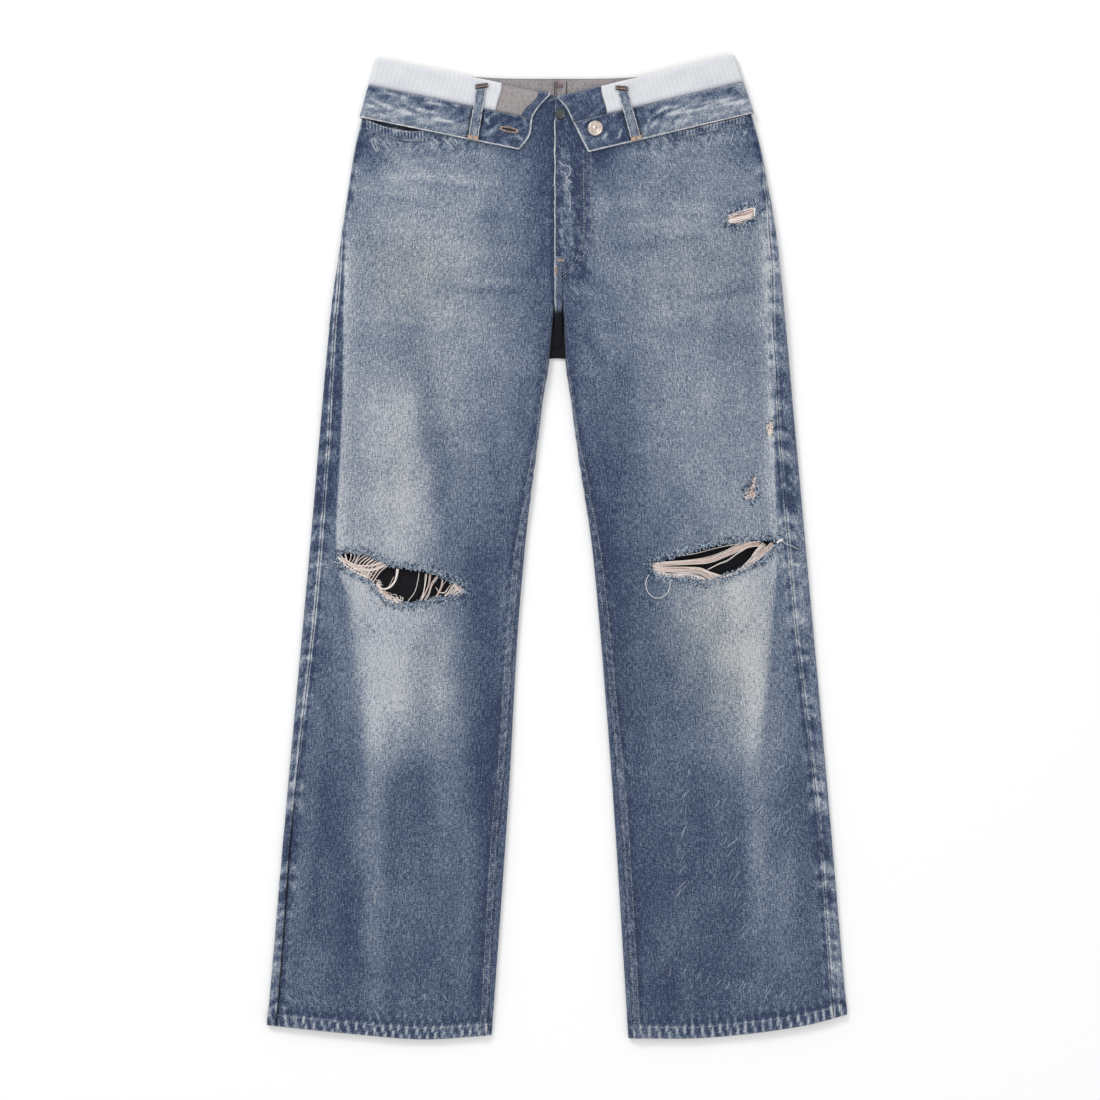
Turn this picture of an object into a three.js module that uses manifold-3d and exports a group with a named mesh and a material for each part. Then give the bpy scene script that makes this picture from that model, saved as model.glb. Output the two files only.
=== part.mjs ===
// Ripped jeans, laid flat on their back with the whole waist turned down once towards the outside.
// Millimetres. +X is across the garment (the wearer's right leg is at -X), +Y runs from the hems up to
// the waist, +Z is up from the surface that the jeans lie on. The origin is the middle of the underside.
import * as THREE from "three";
import { mergeVertices } from "three/addons/utils/BufferGeometryUtils.js";
import Module from "manifold-3d";

const wasm = await Module();
wasm.setup();

// ---------------------------------------------------------------- driving dimensions
const DENIM = 1.2; // cloth thickness
const LINING = 1.0; // pocketing and facings, with their turned edges
const BAND = 2.3; // waistband, two layers
const GAP = 0.3; // clearance between neighbouring pieces
const HEM = 14; // depth of the turned hem
const FLAP = 30; // from the fold down to the waistband seam
const BAND_HEIGHT = 37; // depth of the waistband
const FOLD_REACH = GAP / 2 + DENIM + GAP + LINING; // how far the fold stands above its centre line
const FLY_X = -2.4; // edge of the fly
const LOOP_WIDTH = 10.5;
const LOOP_THICK = 1.2;
const LOOP_RISE = FLAP - 5; // a loop starts this far above the waistband seam
const POCKET = { width: 138, height: 128, tip: 22, top: 400, middle: 92 };
const BUTTON_R = 8.3;
const FLY_BUTTON_R = 6;
const FLAP_H = GAP; // height of the turned-down denim over the body
const LINING_H = FLAP_H + DENIM + GAP;
const LOOP_H = FLAP_H + BAND + GAP;

const DENIM_BLUE = { color: 0x64799b, roughness: 0.9, metalness: 0 };
const DENIM_DARK = { color: 0x4a5f86, roughness: 0.9, metalness: 0 };
const COTTON_WHITE = { color: 0xdfe3ea, roughness: 0.85, metalness: 0 };
const COPPER = { color: 0xcdbfae, roughness: 0.35, metalness: 0.9 };
const DARK_METAL = { color: 0x39443f, roughness: 0.4, metalness: 0.9 };

// ---------------------------------------------------------------- curves of the cut
// The span of a list of [position, value] pairs that holds t, and how far along it t is.
function spanAt(pairs, t) {
  const next = pairs.findIndex(([position]) => position > t);
  const i = next < 0 ? pairs.length - 2 : Math.max(next - 1, 0);
  const [from, to] = [pairs[i][0], pairs[i + 1][0]];
  return [i, THREE.MathUtils.clamp((t - from) / (to - from), 0, 1)];
}

// Level at each pair and eased between them: for heights that must not overshoot.
function eased(pairs) {
  return (t) => {
    const [i, s] = spanAt(pairs, t);
    return THREE.MathUtils.lerp(pairs[i][1], pairs[i + 1][1], s * s * (3 - 2 * s));
  };
}

// A smooth curve through the pairs: for outlines and seams.
function through(pairs) {
  const slope = (i) => {
    const [before, after] = [pairs[Math.max(i - 1, 0)], pairs[Math.min(i + 1, pairs.length - 1)]];
    return (after[1] - before[1]) / (after[0] - before[0]);
  };
  return (t) => {
    const [i, s] = spanAt(pairs, t);
    const run = pairs[i + 1][0] - pairs[i][0];
    const [a, b] = [pairs[i][1], pairs[i + 1][1]];
    const bend = s * (1 - s) * ((1 - s) * (slope(i) * run - (b - a)) - s * (slope(i + 1) * run - (b - a)));
    return THREE.MathUtils.lerp(a, b, s) + bend;
  };
}

// Each side: distances from the middle line, by height. `edge` is the outer silhouette of the body,
// `inner` the inner silhouette of the leg, which past the crotch is where the front rolls over.
// `sideSeam` and `inseam` are measured round the cloth from those silhouettes: over 0 is on the front.
const RIGHT = {
  name: "right",
  sign: -1,
  edge: through([
    [-526, 318.5], [-280, 297], [-14, 272.5], [250, 249], [338, 237], [430, 223], [472, 213.5], [537, 196],
  ]),
  inner: through([
    [-540, 72], [-280, 53.5], [-100, 43.5], [0, 35], [74, 27], [162, 16], [208, 8.6], [265, 3], [300, -2],
    [540, -2],
  ]),
  flyEdge: 2.55,
  sideSeam: eased([[-526, 12], [-280, 10], [-60, 14], [100, 13], [180, 11], [260, 8.5], [372, 0]]),
  inseam: eased([[-540, 6.5], [-320, 9.5], [-200, 6], [-20, 5], [60, 0], [130, -4], [235, -3]]),
  hem: through([[72, -536.5], [146, -541], [220, -535.5], [318.5, -525.5]]),
  fold: { middle: 496.4, slope: 0.203 },
  flapEnd: through([[0, 7.4], [16, 20], [FLAP, 27], [FLAP + 18, 29.7], [FLAP + BAND_HEIGHT, 41.5]]),
  liningEnd: eased([[0, 60.5], [FLAP, 67]]),
  facingEnd: eased([[0, 20.5], [FLAP, 39]]),
  loop: { top: 82.5, bottom: 92 },
  pocket: { from: 146, to: 209, gape: 4.5, depth: 11 },
};
const LEFT = {
  name: "left",
  sign: 1,
  edge: through([
    [-514, 318.5], [-280, 298.5], [-14, 274.5], [250, 250.5], [338, 241.5], [430, 225], [472, 214],
    [540, 192],
  ]),
  inner: through([
    [-540, 78.5], [-280, 62], [-100, 48], [0, 38.5], [74, 28], [162, 16], [208, 9.6], [265, 6], [310, -7],
    [540, -7],
  ]),
  flyEdge: -2.25,
  sideSeam: eased([
    [-514, 16], [-320, 14], [-60, 20.5], [100, 20.5], [210, 18], [335, 10], [390, 5], [430, 0],
  ]),
  inseam: eased([[-540, 7], [-320, 8], [-100, 4.5], [-20, 3], [60, 0], [130, -4], [235, -3]]),
  hem: through([[78.5, -540], [166, -539], [266, -527], [318.5, -514]]),
  fold: { middle: 493.9, slope: 0.237 },
  flapEnd: through([[0, 0.6], [12, 9.6], [FLAP, 17.6], [FLAP + BAND_HEIGHT, 34.6]]),
  liningEnd: eased([[0, 48.6], [FLAP, 54.8]]),
  facingEnd: eased([[0, 48.2], [FLAP, 54.4]]),
  loop: { top: 71, bottom: 87 },
  pocket: { from: 133, to: 207, gape: 0.5, depth: 8 },
};
const SIDES = [RIGHT, LEFT];

const CROTCH = { top: 216, bottom: 204 }; // the back turns up round the thighs between these heights
const FLY_BOTTOM = 294; // the fronts' edges lie flat and side by side above this
const FLY_ROLL = 262; // and roll down between the thighs below this
const WAIST_BODY = 432; // the body lies flat and close from here up to the fold
const backWaist = through([[0, 515], [60, 515.5], [110, 519], [160, 527]]);
const yokeSeam = (across) => 437 + 0.123 * across;
const YOKE_SIDE = 463.7; // where the yoke seam meets the side seam
const seatEase = eased([[185, 0], [CROTCH.bottom, 1.5]]); // the back falls short of the inseam by this

// Undersides and tops of the garment's flat parts.
const backLevel = eased([[200, 0], [245, 1.5], [405, 1.5], [WAIST_BODY, 4.1]]);
const frontLevel = eased([
  [-540, 5], [-250, 5.6], [20, 6.4], [140, 7.5], [215, 10], [255, 10], [330, 8.4], [400, 7.5],
  [WAIST_BODY, 7.1],
]);
const fullness = eased([[-540, 1], [-250, 1.8], [0, 1.8], [150, 3], [280, 3], [380, 1.2], [WAIST_BODY, 0]]);
const HEIGHTS = [
  -460, -350, -240, -140, -75, -30, 20, 80, 140, 185, 204, 216, 240, 265, 294, 318, 350, 395, WAIST_BODY,
];

// ---------------------------------------------------------------- the garment's skin
// A place round the garment: so far round the cloth from a silhouette, or at a distance on a flat face.
const fromEdge = (arc) => ({ edge: "edge", arc });
const fromInner = (arc) => ({ edge: "inner", arc });
const onFront = (across) => ({ front: true, across });
const onBack = (across) => ({ front: false, across });

const turnRadius = (y) => (frontLevel(y) - backLevel(y)) / 2;
const quarterTurn = (y) => (turnRadius(y) * Math.PI) / 2;

// Distance from the middle line of a place at a height, and whether it is on the front.
function flatPlace(side, place, y) {
  if (!place.edge) return place;
  const beyond = Math.max(Math.abs(place.arc) - quarterTurn(y), 0);
  const inward = place.edge === "edge" ? -1 : 1;
  return { front: place.arc >= 0, across: side[place.edge](y) + inward * (turnRadius(y) + beyond) };
}

// The point at `lift` off the outer face of the garment at a place and a height.
function skin(side, place, y, lift) {
  const [low, high] = [backLevel(y), frontLevel(y)];
  const radius = turnRadius(y);
  if (place.edge && Math.abs(place.arc) < quarterTurn(y)) {
    const turn = place.arc / radius;
    const inward = place.edge === "edge" ? -1 : 1;
    const across = side[place.edge](y) + inward * (radius - (radius + lift) * Math.cos(turn));
    return new THREE.Vector3(side.sign * across, y, (low + high) / 2 + (radius + lift) * Math.sin(turn));
  }
  const { front, across } = flatPlace(side, place, y);
  if (!front) return new THREE.Vector3(side.sign * across, y, low - lift);
  const share = THREE.MathUtils.clamp((across - side.inner(y)) / (side.edge(y) - side.inner(y)), 0, 1);
  const crown = fullness(y) * 4 * share * (1 - share);
  return new THREE.Vector3(side.sign * across, y, high + lift + crown);
}

// Height of the centre line of the fold above a place, for cloth that hangs `drop` below it.
function foldHeight(side, place, drop = 0) {
  const line = (across) => side.fold.middle + side.fold.slope * across - FOLD_REACH;
  if (place.edge) return line(side.edge(line(200) - drop));
  if (place.front) return line(place.across);
  const level = backWaist(place.across) - FOLD_REACH;
  const share = THREE.MathUtils.smoothstep(place.across, 110, 190);
  return THREE.MathUtils.lerp(level, line(place.across), share);
}

// A point of the turned-down part, `drop` below the fold and `lift` off the body.
function onFlap(side, place, drop, lift) {
  return skin(side, place, foldHeight(side, place, drop) - drop, lift);
}

// A point of cloth going over the fold: `turn` runs from 0 on the body to pi on the flap, and `depth`
// is measured through the cloth from the body's outer face.
function overFold(side, place, turn, depth) {
  const reach = GAP / 2 + depth;
  const height = foldHeight(side, place);
  const point = skin(side, place, height, GAP / 2 - reach * Math.cos(turn));
  return point.setY(height + reach * Math.sin(turn));
}

// ---------------------------------------------------------------- cloth walls
// A closed wall from a grid of rows by columns: at(row, column, face) is a point, face 0 and 1.
function wall(rows, columns, at) {
  const points = [0, 1].map((face) =>
    Array.from({ length: rows }, (_, i) => Array.from({ length: columns }, (_, j) => at(i, j, face))),
  );
  const corners = [];
  const quad = (a, b, c, d) => corners.push(a, b, c, a, c, d);
  for (let i = 0; i + 1 < rows; i++) {
    for (let j = 0; j + 1 < columns; j++) {
      const [f, g] = points;
      quad(f[i][j], f[i][j + 1], f[i + 1][j + 1], f[i + 1][j]);
      quad(g[i][j], g[i + 1][j], g[i + 1][j + 1], g[i][j + 1]);
    }
    const [f, g, last] = [points[0], points[1], columns - 1];
    quad(f[i][0], f[i + 1][0], g[i + 1][0], g[i][0]);
    quad(f[i][last], g[i][last], g[i + 1][last], f[i + 1][last]);
  }
  for (let j = 0; j + 1 < columns; j++) {
    const [f, g, last] = [points[0], points[1], rows - 1];
    quad(f[0][j], g[0][j], g[0][j + 1], f[0][j + 1]);
    quad(f[last][j], f[last][j + 1], g[last][j + 1], g[last][j]);
  }
  return facingOut(new THREE.BufferGeometry().setFromPoints(corners));
}

// The same faces, turned round if they enclose a negative volume.
function facingOut(geometry) {
  const p = geometry.attributes.position;
  const [a, b, c] = [new THREE.Vector3(), new THREE.Vector3(), new THREE.Vector3()];
  let volume = 0;
  for (let i = 0; i < p.count; i += 3) {
    a.fromBufferAttribute(p, i);
    b.fromBufferAttribute(p, i + 1);
    c.fromBufferAttribute(p, i + 2);
    volume += a.dot(b.cross(c));
  }
  if (volume > 0) return geometry;
  for (let i = 0; i < p.count; i += 3) {
    a.fromBufferAttribute(p, i + 1);
    b.fromBufferAttribute(p, i + 2);
    p.setXYZ(i + 1, b.x, b.y, b.z);
    p.setXYZ(i + 2, a.x, a.y, a.z);
  }
  return geometry;
}

function manifoldOf(geometry) {
  const bare = new THREE.BufferGeometry().setAttribute("position", geometry.attributes.position);
  if (geometry.index) bare.setIndex(geometry.index);
  const merged = mergeVertices(bare, 1e-4);
  return new wasm.Manifold(
    new wasm.Mesh({
      numProp: 3,
      vertProperties: merged.attributes.position.array,
      triVerts: new Uint32Array(merged.index.array),
    }),
  );
}

function geometryOf(solid) {
  const { vertProperties, triVerts } = solid.getMesh();
  return new THREE.BufferGeometry()
    .setAttribute("position", new THREE.BufferAttribute(vertProperties, 3))
    .setIndex(new THREE.BufferAttribute(triVerts, 1));
}

const garment = new THREE.Group();

function add(name, geometry, look) {
  const material = new THREE.MeshStandardMaterial({ ...look, side: THREE.DoubleSide });
  const mesh = new THREE.Mesh(geometry, material);
  mesh.name = name;
  garment.add(mesh);
  return mesh;
}

// ---------------------------------------------------------------- front panels
const EDGE_STEPS = 5; // columns round each turned edge
const FLAT_STEPS = 4; // columns across the flat between them
const TURNS = [Math.PI / 4, Math.PI / 2, (3 * Math.PI) / 4];
const FLAP_DROPS = [0, FLAP / 2, FLAP - GAP / 2];

// How far round the cloth step k lies, from a seam to just past the turn.
function stepFrom(seam, y, k) {
  const end = Math.max(quarterTurn(y), seam + 0.9 * quarterTurn(y));
  return THREE.MathUtils.lerp(seam, end, k / (EDGE_STEPS - 1));
}

// How far round the cloth the front's inner edge lies: at the inseam, or at the fly above the crotch.
function frontStart(side, y) {
  const fly = side.flyEdge - side.inner(y) - turnRadius(y) + quarterTurn(y);
  const flat = THREE.MathUtils.smoothstep(y, FLY_ROLL, FLY_BOTTOM);
  return THREE.MathUtils.lerp(side.inseam(y) + GAP / 2, fly, flat);
}

// Place of column j on a front at a height: round the inner turn, across, round the outer turn.
function frontColumn(side, j, y) {
  const inner = (k) => fromInner(stepFrom(frontStart(side, y), y, k));
  const outer = (k) => fromEdge(stepFrom(side.sideSeam(y) + GAP / 2, y, k));
  if (j < EDGE_STEPS) return inner(j);
  const past = j - EDGE_STEPS - FLAT_STEPS;
  if (past >= 0) return outer(EDGE_STEPS - 1 - past);
  const from = flatPlace(side, inner(EDGE_STEPS - 1), y).across;
  const to = flatPlace(side, outer(EDGE_STEPS - 1), y).across;
  return onFront(THREE.MathUtils.lerp(from, to, (j - EDGE_STEPS + 1) / (FLAT_STEPS + 1)));
}

// The same columns on the turned-down part, which starts at the flap's slanting front end.
function flapColumn(side, j, drop) {
  const count = EDGE_STEPS + FLAT_STEPS;
  const y = foldHeight(side, fromEdge(0), drop) - drop;
  if (j >= count) return frontColumn(side, j, y);
  const outer = flatPlace(side, frontColumn(side, count, y), y).across;
  return onFront(THREE.MathUtils.lerp(side.flapEnd(drop), outer, j / count));
}

// Going over the fold the front edge shifts from the fly to the flap's front end.
function foldColumn(side, j, share) {
  const y = foldHeight(side, fromEdge(0));
  const end = flapColumn(side, j, 0);
  if (end.edge) return end;
  const { across } = flatPlace(side, frontColumn(side, j, y), y);
  return onFront(THREE.MathUtils.lerp(across, end.across, share));
}

// Heights of a leg's rows above the hem line, and how thick its cloth is there.
const HEM_ROWS = [
  { rise: 0, layers: 2 },
  { rise: HEM, layers: 2 },
  { rise: HEM + 1.5, layers: 1 },
];

function frontPanel(side) {
  const heights = [...HEIGHTS, YOKE_SIDE];
  const bodyRows = HEM_ROWS.length + heights.length;
  const rows = bodyRows + 1 + TURNS.length + FLAP_DROPS.length;
  return wall(rows, 2 * EDGE_STEPS + FLAT_STEPS, (i, j, face) => {
    const depth = face * DENIM;
    if (i < HEM_ROWS.length) {
      const level = side.hem(side.inner(-540));
      const across = flatPlace(side, frontColumn(side, j, level), level).across;
      const y = side.hem(across) + HEM_ROWS[i].rise;
      return skin(side, frontColumn(side, j, y), y, -HEM_ROWS[i].layers * depth);
    }
    if (i < bodyRows) {
      const y = heights[i - HEM_ROWS.length];
      return skin(side, frontColumn(side, j, y), y, -depth);
    }
    if (i === bodyRows) return overFold(side, foldColumn(side, j, 0), 0, depth);
    const turned = i - bodyRows - 1;
    if (turned < TURNS.length) {
      const turn = TURNS[turned];
      return overFold(side, foldColumn(side, j, turn / Math.PI), turn, depth);
    }
    const drop = FLAP_DROPS[turned - TURNS.length];
    return onFlap(side, flapColumn(side, j, drop), drop, FLAP_H + depth);
  });
}

// Rips, as outlines in plan.
const RIPS = {
  right: [
    [
      [-240, -11], [-226, -6.5], [-204, -11], [-182, -20.5], [-148, -26], [-131, -31], [-114, -39.5],
      [-102.5, -47], [-114, -54], [-131, -56.5], [-162, -62.5], [-179, -61], [-190.5, -53], [-204, -38.5],
      [-232, -23],
    ],
  ],
  left: [
    [
      [103, -19], [120, -14], [140, -7.5], [170, 0.5], [193, 4], [215, 7], [232, 7.3], [243, 5.5],
      [226.5, -12], [210, -21], [181.5, -33], [164.5, -38], [142, -33], [114, -32],
    ],
    [[186, 360], [214, 373], [218.5, 365], [202, 353.5], [187.5, 355]],
    [[219.5, 79], [214, 73.5], [207, 61], [207, 51], [219, 50], [218.5, 62], [220.5, 70]],
    [[233.5, 137], [230, 130.5], [232, 122], [236.5, 122], [236.5, 137]],
  ],
};
const CUT_DEPTH = 60;

function withRips(side, geometry) {
  return RIPS[side.name].reduce((left, outline) => {
    const curve = new THREE.SplineCurve(outline.map(([x, y]) => new THREE.Vector2(x, y)).concat(
      [new THREE.Vector2(...outline[0])],
    ));
    const shape = new THREE.Shape(curve.getPoints(outline.length * 2).slice(0, -1));
    const cutter = new THREE.ExtrudeGeometry(shape, { depth: CUT_DEPTH, bevelEnabled: false });
    return left.subtract(manifoldOf(cutter));
  }, manifoldOf(geometry));
}

// ---------------------------------------------------------------- back panels and yokes
const WRAP_STEPS = 6; // columns from a seam round to the flat of the back
const BACK_FLAT = 4; // columns across a back panel's flat
const WAIST_FLAT = 6; // columns across the flat of the yoke and of the waistband's back

// Place of column j on a back at a height: from the side seam, round the outer turn, across the back.
function backOuter(side, j, y) {
  return fromEdge(THREE.MathUtils.lerp(side.sideSeam(y) - GAP / 2, -quarterTurn(y), j / WRAP_STEPS));
}

// Where the flat of the back ends towards the middle.
function backFlatEnd(side, y) {
  const leastAcross = 12;
  return Math.max(flatPlace(side, fromInner(-quarterTurn(y)), y).across, leastAcross);
}

// From the flat of the back to its inner edge: the middle line, or past the crotch round to the inseam.
function backInner(side, share, y, lift) {
  const level = onBack(THREE.MathUtils.lerp(backFlatEnd(side, y), GAP / 2, share));
  const seam = side.inseam(y) - GAP / 2 - seatEase(y);
  const round = fromInner(THREE.MathUtils.lerp(-quarterTurn(y), seam, share));
  const turned = 1 - THREE.MathUtils.smoothstep(y, CROTCH.bottom, CROTCH.top);
  return skin(side, level, y, lift).lerp(skin(side, round, y, lift), turned);
}

function backPanel(side) {
  const innerStart = WRAP_STEPS + BACK_FLAT;
  const columns = innerStart + WRAP_STEPS + 1;
  const point = (j, y, lift) => {
    if (j <= WRAP_STEPS) return skin(side, backOuter(side, j, y), y, lift);
    if (j >= innerStart) return backInner(side, (j - innerStart) / WRAP_STEPS, y, lift);
    const outer = flatPlace(side, fromEdge(-quarterTurn(y)), y).across;
    const share = (j - WRAP_STEPS) / BACK_FLAT;
    return skin(side, onBack(THREE.MathUtils.lerp(outer, backFlatEnd(side, y), share)), y, lift);
  };
  return wall(HEM_ROWS.length + HEIGHTS.length + 1, columns, (i, j, face) => {
    const depth = face * DENIM;
    if (i < HEM_ROWS.length) {
      const across = side.sign * point(j, side.hem(side.inner(-540)), 0).x;
      return point(j, side.hem(across) + HEM_ROWS[i].rise, -HEM_ROWS[i].layers * depth);
    }
    const y = HEIGHTS[i - HEM_ROWS.length];
    if (y !== undefined) return point(j, y, -depth);
    const across = side.sign * point(j, YOKE_SIDE, 0).x;
    return point(j, yokeSeam(across) - GAP, -depth);
  });
}

function yoke(side) {
  const place = (j, y) => {
    if (j <= WRAP_STEPS) return backOuter(side, j, y);
    const outer = flatPlace(side, fromEdge(-quarterTurn(y)), y).across;
    return onBack(THREE.MathUtils.lerp(outer, GAP / 2, (j - WRAP_STEPS) / WAIST_FLAT));
  };
  const body = 2;
  return wall(body + TURNS.length + FLAP_DROPS.length, WRAP_STEPS + WAIST_FLAT + 1, (i, j, face) => {
    const depth = face * DENIM;
    if (i === 0) {
      const seam = yokeSeam(flatPlace(side, place(j, YOKE_SIDE), YOKE_SIDE).across);
      return skin(side, place(j, seam), seam, -depth);
    }
    const drop = FLAP_DROPS[i - body - TURNS.length] ?? 0;
    const spot = place(j, foldHeight(side, fromEdge(0), drop) - drop);
    if (i < body) return overFold(side, spot, 0, depth);
    if (i < body + TURNS.length) return overFold(side, spot, TURNS[i - body], depth);
    return onFlap(side, spot, drop, FLAP_H + depth);
  });
}

// ---------------------------------------------------------------- what the fold carries
// Cloth laid on the flap from the top of the fold to the waistband seam. `placeAt` gives the place of
// a column at a drop.
function overlay(side, columns, placeAt) {
  const turns = [Math.PI / 2, (3 * Math.PI) / 4];
  return wall(turns.length + FLAP_DROPS.length, columns, (i, j, face) => {
    const depth = LINING_H - FLAP_H + face * LINING;
    const drop = FLAP_DROPS[i - turns.length] ?? 0;
    const place = placeAt(j / (columns - 1), drop);
    if (i < turns.length) return overFold(side, place, turns[i], depth);
    return onFlap(side, place, drop, FLAP_H + depth);
  });
}

function flyFacing(side) {
  return overlay(side, 5, (share, drop) =>
    onFront(THREE.MathUtils.lerp(side.flapEnd(drop), side.facingEnd(drop) - GAP, share)),
  );
}

// The pocket bag's cloth runs out to the silhouette and a little way round it.
function pocketBag(side) {
  const flatShare = 0.5;
  const endTurn = -0.4;
  return overlay(side, 13, (share, drop) => {
    const y = foldHeight(side, fromEdge(0), drop) - drop;
    const past = (share - flatShare) / (1 - flatShare);
    if (past >= 0) return fromEdge(quarterTurn(y) * THREE.MathUtils.lerp(1, endTurn, past));
    const outer = flatPlace(side, fromEdge(quarterTurn(y)), y).across;
    return onFront(THREE.MathUtils.lerp(side.liningEnd(drop), outer, share / flatShare));
  });
}

// One band from the right front end round the back to the left front end.
function waistband() {
  const [frontFlat, turn] = [6, 8];
  const half = frontFlat + turn + WAIST_FLAT;
  const drops = [FLAP + GAP / 2, FLAP + BAND_HEIGHT / 2, FLAP + BAND_HEIGHT];
  const placeAt = (side, j, drop) => {
    const y = foldHeight(side, fromEdge(0), drop) - drop;
    const quarter = quarterTurn(y);
    const outer = flatPlace(side, fromEdge(quarter), y).across;
    if (j < frontFlat) return onFront(THREE.MathUtils.lerp(side.flapEnd(drop), outer, j / frontFlat));
    const past = (j - frontFlat) / turn;
    if (past <= 1) return fromEdge(quarter * (1 - 2 * past));
    return onBack(THREE.MathUtils.lerp(outer, 0, (j - frontFlat - turn) / WAIST_FLAT));
  };
  return wall(drops.length, 2 * half + 1, (i, j, face) => {
    const [side, column] = j <= half ? [RIGHT, j] : [LEFT, 2 * half - j];
    return onFlap(side, placeAt(side, column, drops[i]), drops[i], FLAP_H + face * BAND);
  });
}

function beltLoop(side, face, top, bottom, bow) {
  const rows = 7;
  const start = FLAP - LOOP_RISE;
  const end = FLAP + BAND_HEIGHT - 1;
  return wall(rows, 2, (i, j, skinFace) => {
    const along = i / (rows - 1);
    const middle = THREE.MathUtils.lerp(top, bottom, along);
    const across = middle + (j - 0.5) * LOOP_WIDTH;
    const lift = LOOP_H + bow * Math.sin(Math.PI * along) + skinFace * LOOP_THICK;
    return onFlap(side, face(across), THREE.MathUtils.lerp(start, end, along), lift);
  });
}

// The felled seam of the front rise, which dips between the thighs to the crotch.
function riseSeam() {
  const [top, dipStart, bottom] = [318, 290, 219];
  const [from, to] = [FLY_X, 5.3];
  const over = 0.9; // above the flat of the fronts
  const steps = 12;
  const dip = eased([[bottom, backLevel(bottom) + DENIM + GAP], [dipStart, frontLevel(dipStart) + over]]);
  return wall(steps + 1, 2, (i, j, face) => {
    const y = THREE.MathUtils.lerp(top, bottom, i / steps);
    const base = y > dipStart ? frontLevel(y) + over : dip(y);
    return new THREE.Vector3(j ? to : from, y, base + face * DENIM);
  });
}

// The folded edge of the front pocket, just under the waistband.
function pocketFacing(side) {
  const { from, to, gape, depth } = side.pocket;
  const columns = 7;
  return wall(2, columns, (i, j, face) => {
    const share = j / (columns - 1);
    const across = THREE.MathUtils.lerp(from, to, share);
    const top = foldHeight(side, onFront(across)) - FLAP - BAND_HEIGHT - 2 * GAP;
    const y = top - gape * 4 * share * (1 - share) - i * depth;
    return skin(side, onFront(across), y, GAP + face * LINING);
  });
}

// A patch pocket: square at the top, pointed at the bottom.
function backPocket(side) {
  const { width, height, tip, top, middle } = POCKET;
  const columns = 5;
  return wall(3, columns, (i, j, face) => {
    const share = j / (columns - 1) - 0.5;
    const taper = 1 - 0.1 * (i / 2);
    const point = (1 - 2 * Math.abs(share)) * tip * (i / 2);
    const y = top - (i / 2) * height - point;
    return skin(side, onBack(middle + share * width * taper), y, GAP + face * DENIM);
  });
}

// A shank button: a domed cap with a rim.
function button(radius, height) {
  const rim = 0.16 * radius;
  const profile = [
    [0, 0], [radius * 0.8, 0], [radius, height * 0.35], [radius, height * 0.7], [radius - rim, height],
    [radius - 2 * rim, height * 0.8], [0, height * 0.9],
  ];
  const lathe = new THREE.LatheGeometry(profile.map(([r, z]) => new THREE.Vector2(r, z)), 24);
  return geometryOf(manifoldOf(facingOut(lathe.rotateX(Math.PI / 2).toNonIndexed())));
}

// ---------------------------------------------------------------- assembly
for (const side of SIDES) {
  add(`front_${side.name}`, geometryOf(withRips(side, frontPanel(side))), DENIM_BLUE);
  add(`back_${side.name}`, backPanel(side), DENIM_BLUE);
  add(`yoke_${side.name}`, yoke(side), DENIM_BLUE);
  add(`pocket_bag_${side.name}`, pocketBag(side), COTTON_WHITE);
  add(`fly_facing_${side.name}`, flyFacing(side), DENIM_DARK);
  add(`pocket_facing_${side.name}`, pocketFacing(side), DENIM_DARK);
  const { top, bottom } = side.loop;
  add(`belt_loop_front_${side.name}`, beltLoop(side, onFront, top, bottom, 1.2), DENIM_DARK);
  add(`belt_loop_back_${side.name}`, beltLoop(side, onBack, 112, 112, 0), DENIM_DARK);
  add(`back_pocket_${side.name}`, backPocket(side), DENIM_BLUE);
}
add("waistband", waistband(), DENIM_DARK);
add("belt_loop_centre", beltLoop(LEFT, onBack, 0, 0, 0), DENIM_DARK);
add("rise_seam", riseSeam(), DENIM_DARK);

const waistButton = add("waist_button", button(BUTTON_R, 3), COPPER);
waistButton.position.copy(onFlap(LEFT, onFront(42), 43, LOOP_H + 0.1));
const flyButton = add("fly_button", button(FLY_BUTTON_R, 2.4), DARK_METAL);
flyButton.position.copy(skin(LEFT, onFront(3.8), 474.4, GAP));

export default garment;
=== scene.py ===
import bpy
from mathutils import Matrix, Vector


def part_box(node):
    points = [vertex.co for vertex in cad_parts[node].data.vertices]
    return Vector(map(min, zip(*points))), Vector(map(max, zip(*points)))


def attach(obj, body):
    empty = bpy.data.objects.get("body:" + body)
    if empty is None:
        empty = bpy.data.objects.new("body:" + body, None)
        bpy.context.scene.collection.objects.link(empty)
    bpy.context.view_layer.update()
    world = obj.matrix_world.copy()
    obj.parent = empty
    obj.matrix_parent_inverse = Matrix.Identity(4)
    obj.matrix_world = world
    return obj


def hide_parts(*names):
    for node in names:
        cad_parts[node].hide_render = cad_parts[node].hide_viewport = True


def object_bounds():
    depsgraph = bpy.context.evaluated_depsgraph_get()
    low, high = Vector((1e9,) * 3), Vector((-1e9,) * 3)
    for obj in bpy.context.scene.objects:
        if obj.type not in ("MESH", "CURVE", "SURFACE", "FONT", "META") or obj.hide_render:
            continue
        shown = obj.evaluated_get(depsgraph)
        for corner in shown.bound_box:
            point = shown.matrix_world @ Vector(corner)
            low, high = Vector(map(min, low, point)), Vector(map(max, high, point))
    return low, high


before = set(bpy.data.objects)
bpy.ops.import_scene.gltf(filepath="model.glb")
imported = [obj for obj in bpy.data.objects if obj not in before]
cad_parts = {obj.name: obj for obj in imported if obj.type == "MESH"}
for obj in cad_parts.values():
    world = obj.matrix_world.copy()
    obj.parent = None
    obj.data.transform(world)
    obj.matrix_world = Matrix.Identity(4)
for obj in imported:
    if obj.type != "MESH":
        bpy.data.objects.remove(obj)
cad_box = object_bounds()

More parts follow.
